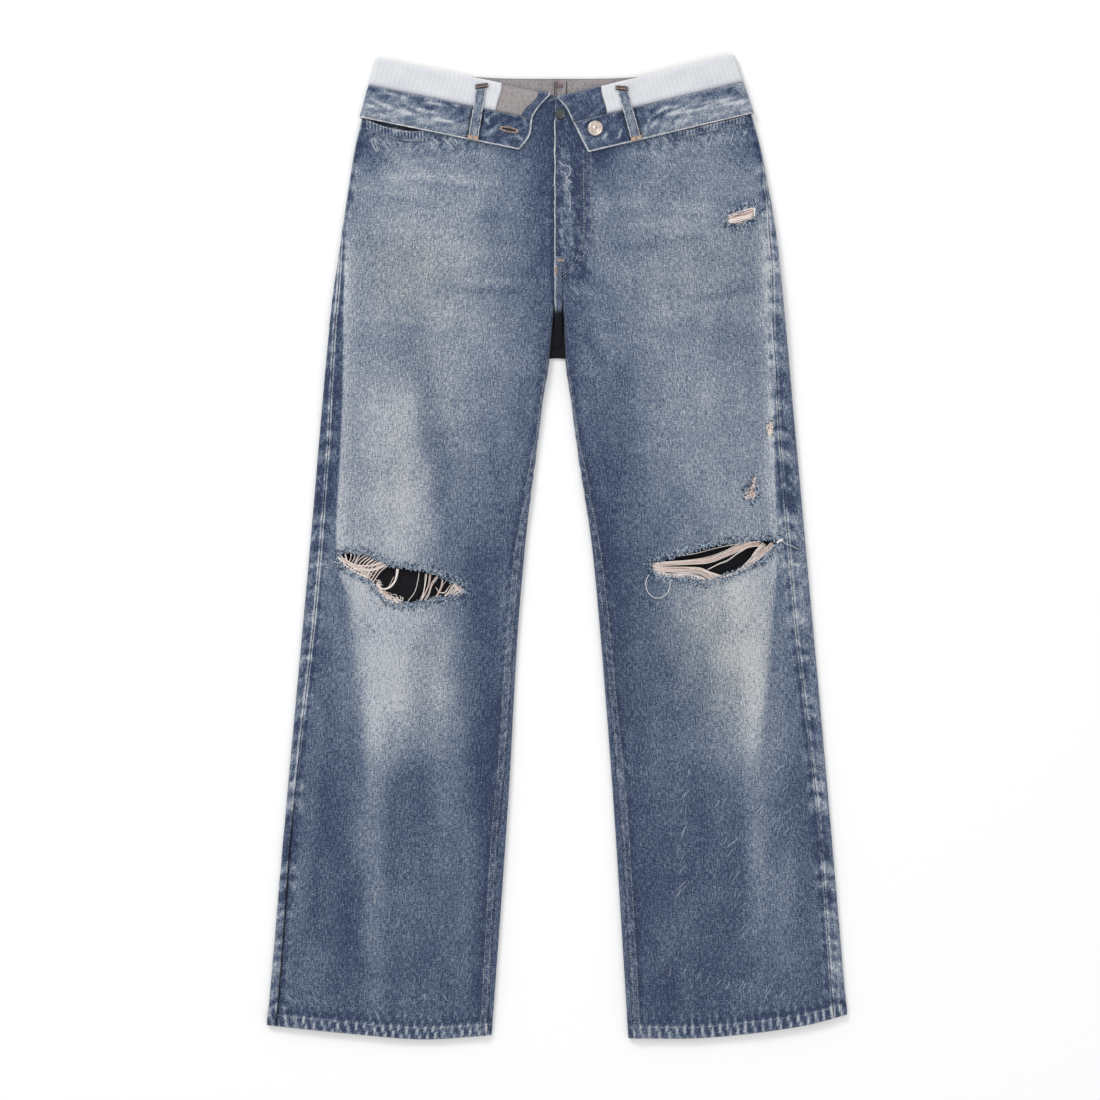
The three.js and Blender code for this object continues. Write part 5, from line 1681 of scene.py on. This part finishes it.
def knee_right_yarn():
    rng = np.random.default_rng(101)
    side, made = RIGHT, []
    weft = weft_into(made, side, rng)
    # thin arcs at the outer end
    weft([(-233, -6.5), (-231.5, -12), (-230, -18)], 3, 2.5, 2.0)
    weft([(-225.6, -6), (-226.5, -13), (-230.2, -19.5)], 2, 1.0, 0.8)
    weft([(-221.5, -6.5), (-222.5, -13.5), (-226, -18.8), (-229.5, -22.5)], 2, 1.2, 0.8)
    weft([(-215, -7.5), (-220, -14), (-223, -21), (-227.5, -25)], 3, 1.6, 1.4)
    # the close fan that falls back to the lower edge
    for k in range(9):
        s = k / 8
        top = lerp(np.array([-210, -9.5]), np.array([-183.2, -19.6]), s)
        foot = lerp(np.array([-224, -26]), np.array([-202, -40]), s)
        weft([top, lerp(top, foot, 0.42) + (-1.8, 1.3), lerp(top, foot, 0.78) + (-1.2, -0.3), foot],
            3 if k % 2 else 2, 1.8, 1.5)
    weft([(-240.5, -11.5), (-232, -20.5), (-221, -28.5), (-209, -34.5), (-201, -40)], 9, 1.6, 3.4)
    weft([(-236, -13), (-226, -20), (-214, -25.5), (-204, -34)], 9, 3.0, 7.0)
    weft([(-228, -20), (-217, -21.5), (-204, -21), (-191, -18)], 6, 2.6, 2.0)
    weft([(-224, -24), (-214, -25), (-202, -25.5), (-188, -20)], 6, 2.6, 2.6)
    weft([(-241, -11), (-237, -15), (-233, -21)], 8, 3.0, 3.6, tone=(0.5, 1.0))
    weft([(-238, -8.5), (-235.6, -13), (-232.5, -19)], 4, 2.0, 2.0, tone=(0.5, 1.0))
    # one fat curl
    weft([(-174.6, -24.5), (-175.6, -31), (-178, -38.5), (-183, -44.5), (-190, -46.6), (-196.5, -43)], 7,
        2.6, 0.9, 0.34, height=(-0.6, 0.8), tone=(0.5, 1.0))
    weft([(-178.5, -33), (-181, -37), (-185, -45)], 2, 0.6, 0.4, 0.2)
    weft([(-151.5, -28.5), (-152.6, -39), (-156.4, -50), (-165, -61.5)], 1, 0.3, 0.3, 0.42)
    # the combed group
    weft([(-143.6, -29.5), (-144.8, -42), (-147.2, -53), (-151, -61)], 3, 2.0, 1.5)
    weft([(-139, -30), (-140.6, -42), (-145.4, -53), (-149.4, -60.5)], 3, 2.2, 1.4)
    weft([(-131, -33), (-137, -41.4), (-140.6, -52), (-145.5, -60.5)], 4, 2.6, 1.6)
    weft([(-125.5, -36), (-127.2, -45), (-132, -54), (-138.7, -59)], 3, 1.8, 1.4)
    weft([(-133, -45), (-129.6, -50), (-123.6, -50.6), (-120, -46.5), (-115.6, -41)], 2, 0.8, 0.8)
    weft([(-122, -38), (-128, -47), (-134, -56), (-140, -59.5)], 2, 0.8, 0.8, 0.24)
    # the close wedge at the inner end
    weft([(-111.5, -39), (-117, -48), (-123.5, -55)], 4, 3.0, 2.2)
    weft([(-107.4, -42), (-111.5, -48), (-118.5, -54.5)], 8, 5.0, 4.0)
    weft([(-103.6, -46), (-105, -50), (-110.5, -54)], 8, 3.0, 4.0)
    # the pale tangle along the lower edge
    made += tangle(side, rng, closed_curve([(-112, -40.5), (-103, -45.5), (-102.5, -50), (-112, -54),
        (-110, -47)]), 60, 0.9, (2.5, 5), (-0.8, 0.3), (0.1, 0.6))
    for _ in range(95):
        s = rng.random()
        at = drawn([(-198, -43), (-192, -52), (-183, -58), (-170, -62.5)], 8)[int(s * 23)]
        at = at + rng.normal(0, 1.7, 2) + (1.2, 1.0)
        way = rng.normal(-0.75, 0.5)
        span = rng.uniform(4, 9) * np.array([np.cos(way), np.sin(way)])
        bow = rng.normal(0, 1.2, 2)
        weft([at - span / 2, at + bow, at + span / 2], 1, 0.3, 0.3, 0.3, height=(-0.3, 0.8))
    # loose ends on the cloth
    over = dict(height=(0.4, 0.5), tone=(0.6, 1.0))
    weft([(-203, -41), (-209, -43.5), (-212.6, -48), (-211.3, -56), (-213.4, -63), (-211, -67.5),
        (-208, -68.5)], 1, radius=0.24, **over)
    weft([(-209, -44), (-211, -41), (-212, -46), (-212, -52)], 1, radius=0.2, **over)
    weft([(-189, -59.5), (-194, -63.8), (-201, -65.6)], 1, radius=0.22, **over)
    strands("knee_right_weft", made, WEFT)
    strands("knee_right_fray", fray(side, KNEE_RIGHT, 1500, 102, 6.0, (2.0, 4.8)), FRINGE, 3)


def knee_left_yarn():
    rng = np.random.default_rng(201)
    side, made = LEFT, []
    weft = weft_into(made, side, rng)
    weft([(133, -10.4), (154, -7.3), (179, -1), (211.5, 5.6)], 1, radius=0.36)
    # the upper bundle opens out to the right
    weft([(103.5, -19.5), (123, -17.8), (146, -16.6), (167, -13.5), (185, -7.4), (198, -1), (214, 4)], 9,
        2.6, 7.5)
    weft([(104, -20.5), (123, -19), (147, -17.6), (168, -15.4), (190, -6.5), (210, 1.4), (224, 3.2)], 8, 3.4,
        6.0)
    weft([(165, -25.2), (177, -19.2), (187, -15.4), (197, -8), (210, 0)], 2, 1.2, 1.6, 0.34,
        height=(0.0, 0.6), tone=(0.6, 1.0))
    # the close band at the lower left
    weft([(103.5, -23), (122, -25.5), (141, -26), (155, -26.5), (166, -31), (172, -37)], 13, 4.5, 8.0)
    weft([(106, -28), (122, -31.8), (138, -31.4), (152, -33.5), (163, -37.6)], 12, 5.0, 5.5)
    weft([(104, -22), (124, -22.6), (142, -22.9), (158, -24.4), (170, -30.5), (180, -33.8)], 3, 1.5, 1.2)
    weft([(146, -24), (158, -26), (169, -29), (178, -32), (187, -32.5), (194, -28.5), (201, -25)], 3, 1.2,
        1.6)
    # the fan at the outer end
    weft([(180, -33.6), (194, -29.5), (205, -23), (214, -15), (221, -6), (229, 2)], 10, 1.5, 9.0)
    weft([(201, -26.5), (211, -20.5), (220, -13), (229, -5), (238, 3)], 10, 1.5, 7.0)
    weft([(214, -10.5), (219, -4), (225.5, 2)], 3, 1.2, 2.4, height=(0.0, 0.5))
    # loose ends on the cloth
    over = dict(height=(0.35, 0.5), tone=(0.75, 1.0))
    angle = np.linspace(2.35, 2.35 + 5.1, 14)
    weft([(110.7 + 13.3 * np.cos(a), -41.3 + 15.4 * np.sin(a)) for a in angle], 1, radius=0.34, **over)
    weft([(241, 4), (245, 6.8), (248.5, 7.6)], 6, 2.0, 3.4, 0.3, **over)
    weft([(247.5, 5.8), (251, 3), (257.5, 0.8), (262.5, -2), (264.8, -3.2)], 1, radius=0.26, **over)
    strands("knee_left_weft", made, WEFT)
    strands("knee_left_fray", fray(side, KNEE_LEFT, 1450, 202, 5.6, (2.0, 4.6)), FRINGE, 3)


def small_rip_yarn():
    rng = np.random.default_rng(301)
    made = []
    for k in range(13):
        s = k / 12
        a = lerp(np.array([187.4, 353.4]), np.array([186, 362.4]), s)
        b = lerp(np.array([214, 359.6]), np.array([217.5, 372.4]), s)
        sag = lerp(a, b, 0.5) + (rng.normal(0, 0.6), rng.normal(-1.0 + s, 0.5))
        pale = k % 2
        made += bundle(LEFT, rng, [a, sag, b], 1, 0.3, 0.3, 0.52, height=(0.0, 0.6),
            tone=(0.65 * pale, 0.25 + 0.7 * pale))
    made += tangle(LEFT, rng, HIP_RIP, 110, 0.36, (4, 9), (-1.0, -0.2), (0.0, 0.3))
    made += bundle(LEFT, rng, [(216.2, 371.6), (216.9, 367.6), (216, 362)], 4, 1.4, 1.4, 0.4,
        height=(0.0, 0.6), tone=(0.8, 1.0))
    for outline, count, low in ((THIGH_RIP, 130, 0.0), (SIDE_RIP, 60, 0.4)):
        made += tangle(LEFT, rng, outline, count, 0.2, (2.5, 5), (-0.9, 0.0), (0.0, 0.6 + low))
        made += tangle(LEFT, rng, outline, count // 2, 1.3, (2.5, 5), (0.0, 0.7), (low, 1.0))
    strands("small_rip_weft", made, WEFT)
    ends = fray(LEFT, HIP_RIP, 520, 302, 5.4, (2.4, 5.0)) + fray(LEFT, THIGH_RIP, 230, 303, 2.4, (1.6, 3.8))
    ends += fray(LEFT, THIGH_RIP[THIGH_RIP[:, 1] < 60], 120, 305, 4.4, (2.0, 4.4))
    ends += fray(LEFT, SIDE_RIP, 60, 304, 1.0, (1.0, 1.8))
    strands("small_rip_fray", ends, FRINGE, 3)


# ---------------------------------------------------------------- bartacks and the buttonhole


def tack(centre, along, wide, long, rows=10, radius=0.3, rim=False):
    """A close row of cross stitches. centre is a point, along and wide are directions on the cloth."""
    along, wide = np.array(along, float), np.array(wide, float)
    made = []
    for k in range(rows):
        shift = centre + along * long * ((k + 0.5) / rows - 0.5)
        line = np.array([shift - wide / 2, shift + (0, 0, 0.25), shift + wide / 2 + along * 0.25])
        edge = k in (0, 1, rows - 2, rows - 1)
        made.append((line, radius, 0.02 if rim and edge else 0.15 + 0.8 * ((k * 5) % 7) / 6))
    return made


def fastenings():
    orange, dark = [], []
    for side in SIDES:
        top, bottom = side.loop
        for drop, middle, lines in ((6.2, top, dark), (FLAP + BAND_HEIGHT - 2.6, bottom, orange)):
            for shift in (0,) if drop < 10 else (-3.2, 3.2):
                centre = waist_point(side, waist_c(side, middle + shift, drop), drop,
                    LOOP_H + LOOP_THICK + 0.55)
                wide = 14.2 if drop < 10 else 5.4
                slant = side.sign * (-0.12 if drop < 10 else 0.2)
                lines.extend(tack(centre, (0, 1, 0), (wide, wide * slant, 0), 5.2 if drop < 10 else 4.4, 11,
                    0.34, drop < 10))
    for x, y, wide, long in ((4, 313.4, 8, 3.0), (-1.2, 303, 3, 9)):
        centre = on_leg(LEFT, x, y, 0.5)
        centre[2] = max(centre[2], float(front_level(y)) + 3.6)
        if wide > long:
            orange += tack(centre, (1, 0, 0), (0, long, 0), wide, 12, 0.3)
        else:
            orange += tack(centre, (0, 1, 0), (wide, 0, 0), long, 13, 0.3)
    y = float(back_waist(0.0)) - FOLD_REACH - 7
    centre = at_back(LEFT, 3.2, y, -DENIM - 0.3)
    dark += tack(centre, (0, 1, 0), (6.5, 0, 0), 4, 9, 0.3)
    for side, across in ((RIGHT, 2.4), (LEFT, 10.6)):
        y = float(back_waist(across)) - FOLD_REACH - np.linspace(2, 20, 8)
        line = at_back(side, across, y, -DENIM - 0.2)
        dark.append((line, 0.5, 0.1))
    # the buttonhole: stitches that stand out round a slit
    side, drop = RIGHT, FLAP + 17.5
    middle = waist_point(side, waist_c(side, 52.5, drop), drop, FLAP_H + BAND + 1.0)
    slope = np.array([1.0, side.sign * 0.2, 0])
    slope /= np.linalg.norm(slope)
    up = np.array([-slope[1], slope[0], 0])
    for angle in np.linspace(0, 2 * np.pi, 54, endpoint=False):
        spot = middle + slope * 9.2 * np.cos(angle) + up * 1.2 * np.sin(angle)
        out = slope * np.cos(angle) * 0.55 + up * np.sign(np.sin(angle) + 1e-6) * max(abs(np.sin(angle)),
            0.45)
        orange.append((np.array([spot, spot + out * 1.0 + (0, 0, 0.2), spot + out * 2.3 - (0, 0, 0.3)]),
            0.34, 0.25 + 0.6 * abs(np.sin(7 * angle))))
    # Three dark strands fill the slit: painted shade standing in for the opening.
    for shift in (-0.45, 0.1, 0.6):
        dark.append((np.array([middle - slope * 8.2 + up * shift, middle + up * shift + (0, 0, 0.1),
            middle + slope * 8.2 + up * shift]), 0.45, 0.1))
    strands("orange_tacks", orange, ORANGE)
    strands("dark_tacks_and_slit_shade", dark, DARK_THREAD_AND_SLIT_SHADE)


# ---------------------------------------------------------------- buttons


def lathe(name, node, profile, material, steps=64):
    """A turned piece about the middle of its node. The profile is (radius, height), from top to foot."""
    low, high = (np.array(corner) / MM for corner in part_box(node))
    middle = (low + high) / 2
    profile = np.array(profile, float)
    angle = np.linspace(0, 2 * np.pi, steps, endpoint=False)
    ring = np.stack([np.cos(angle), np.sin(angle)], -1)
    points = [(*middle[:2], low[2] + profile[0][1])]
    for radius, height in profile[1:-1]:
        points += [(*(middle[:2] + radius * r), low[2] + height) for r in ring]
    points.append((*middle[:2], low[2] + profile[-1][1]))
    faces, rings = [], len(profile) - 2
    for k in range(steps):
        after = (k + 1) % steps
        faces.append((0, 1 + k, 1 + after))
        faces.append((len(points) - 1, 1 + (rings - 1) * steps + after, 1 + (rings - 1) * steps + k))
        for r in range(rings - 1):
            a, b = 1 + r * steps, 1 + (r + 1) * steps
            faces.append((a + k, b + k, b + after, a + after))
    piece = put(name, points, faces, [material])
    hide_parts(node)
    return piece


def make_buttons():
    lathe("waist_button_metal", "waist_button", [(0, 2.5), (1.2, 2.45), (1.5, 2.1), (1.6, 1.9),
        (4.3, 1.85), (4.4, 2.3), (4.7, 2.45), (5.5, 2.45), (5.8, 2.3), (5.9, 2.45), (6.1, 2.8), (7.2, 3.0),
        (7.9, 2.8), (8.25, 2.2), (8.3, 1.4), (7.9, 0.7), (7.0, 0.5), (3.2, 0.5), (2.8, 0.3), (2.8, 0),
        (0, 0)], PALE_METAL)
    lathe("fly_button_metal", "fly_button", [(0, 1.9), (1.3, 1.85), (3.2, 1.75), (3.8, 2.0),
        (4.6, 2.4), (5.3, 2.3), (5.9, 1.7), (6.0, 1.0), (5.6, 0.5), (2.6, 0.4), (2.3, 0.2), (2.3, 0),
        (0, 0)], DARK_METAL)


# ---------------------------------------------------------------- floor, light and camera


def stage_and_light():
    white, _, shader = new_material("Pale floor", 0.9, specular=0.0)
    shader.inputs["Base Color"].default_value = tint(253, 253, 253)
    mesh = bpy.data.meshes.new("floor")
    size, low = 4.0, -0.0006
    mesh.from_pydata([(-size, -size, low), (size, -size, low), (size, size, low), (-size, size, low)], [],
        [(0, 1, 2, 3)])
    mesh.materials.append(white)
    floor = add_object("floor", mesh)

    world = bpy.data.worlds.new("Studio")
    world.use_nodes = True
    sky = world.node_tree.nodes["Background"].inputs
    sky["Color"].default_value = (1.0, 1.0, 1.0, 1.0)
    sky["Strength"].default_value = 0.72
    bpy.context.scene.world = world
    bpy.context.scene.view_settings.view_transform = "Standard"

    for name, place_at, turn, power, wide in (
        ("key", (-1.5, 2.3, 2.3), (-0.72, -0.42, 0.0), 44, 1.0),
        ("fill", (1.0, -1.0, 3.4), (0.3, 0.28, 0.0), 22, 3.0),
    ):
        light = bpy.data.lights.new(name, "AREA")
        light.energy, light.size = power, wide
        lamp = add_object(name, light)
        lamp.location, lamp.rotation_euler = place_at, turn


def look_down():
    low, high = (np.array(corner) for corner in cad_box)
    beside = np.array([-7.8, -3.2, 0]) * MM
    middle = (low + high) / 2 + beside
    focal, sensor, seen = 85, 36, 1.21  # lens and sensor in millimetres, and the metres across that are seen
    lens = bpy.data.cameras.new("camera")
    lens.lens, lens.sensor_width = focal, sensor
    camera = add_object("camera", lens)
    camera.location = (middle[0], middle[1], seen * focal / sensor)
    bpy.context.scene.camera = camera


# ---------------------------------------------------------------- the garment
look_down()
stage_and_light()
for side in SIDES:
    front(side)
    back(side)
    yoke(side)
    pocket_bag(side)
    fly_facing(side)
    pocket_facing(side)
    back_pocket(side)
    loop_strip(f"belt_loop_front_{side.name}", side, False, *side.loop)
    loop_strip(f"belt_loop_back_{side.name}", side, True, 128, 128)
loop_strip("belt_loop_centre", RIGHT, True, 0.0, 0.0)
waistband()
rise_seam()
make_buttons()

front_loops, back_loops = [], loop_stitches(RIGHT, True, 0.0, 0.0)
for side in SIDES:
    leg_stitches(side)
    pocket_stitches(side)
    front_loops += loop_stitches(side, False, *side.loop)
    back_loops += loop_stitches(side, True, 128, 128)
stitch("front_loop_stitches", front_loops, STITCH, 2.2, 2.8, 0.34)
stitch("back_loop_stitches", back_loops, STITCH, 2.2, 2.8, 0.34)
fly_stitches()
waist_stitches()
fastenings()
knee_right_yarn()
knee_left_yarn()
small_rip_yarn()
scratches()
worn_edges()
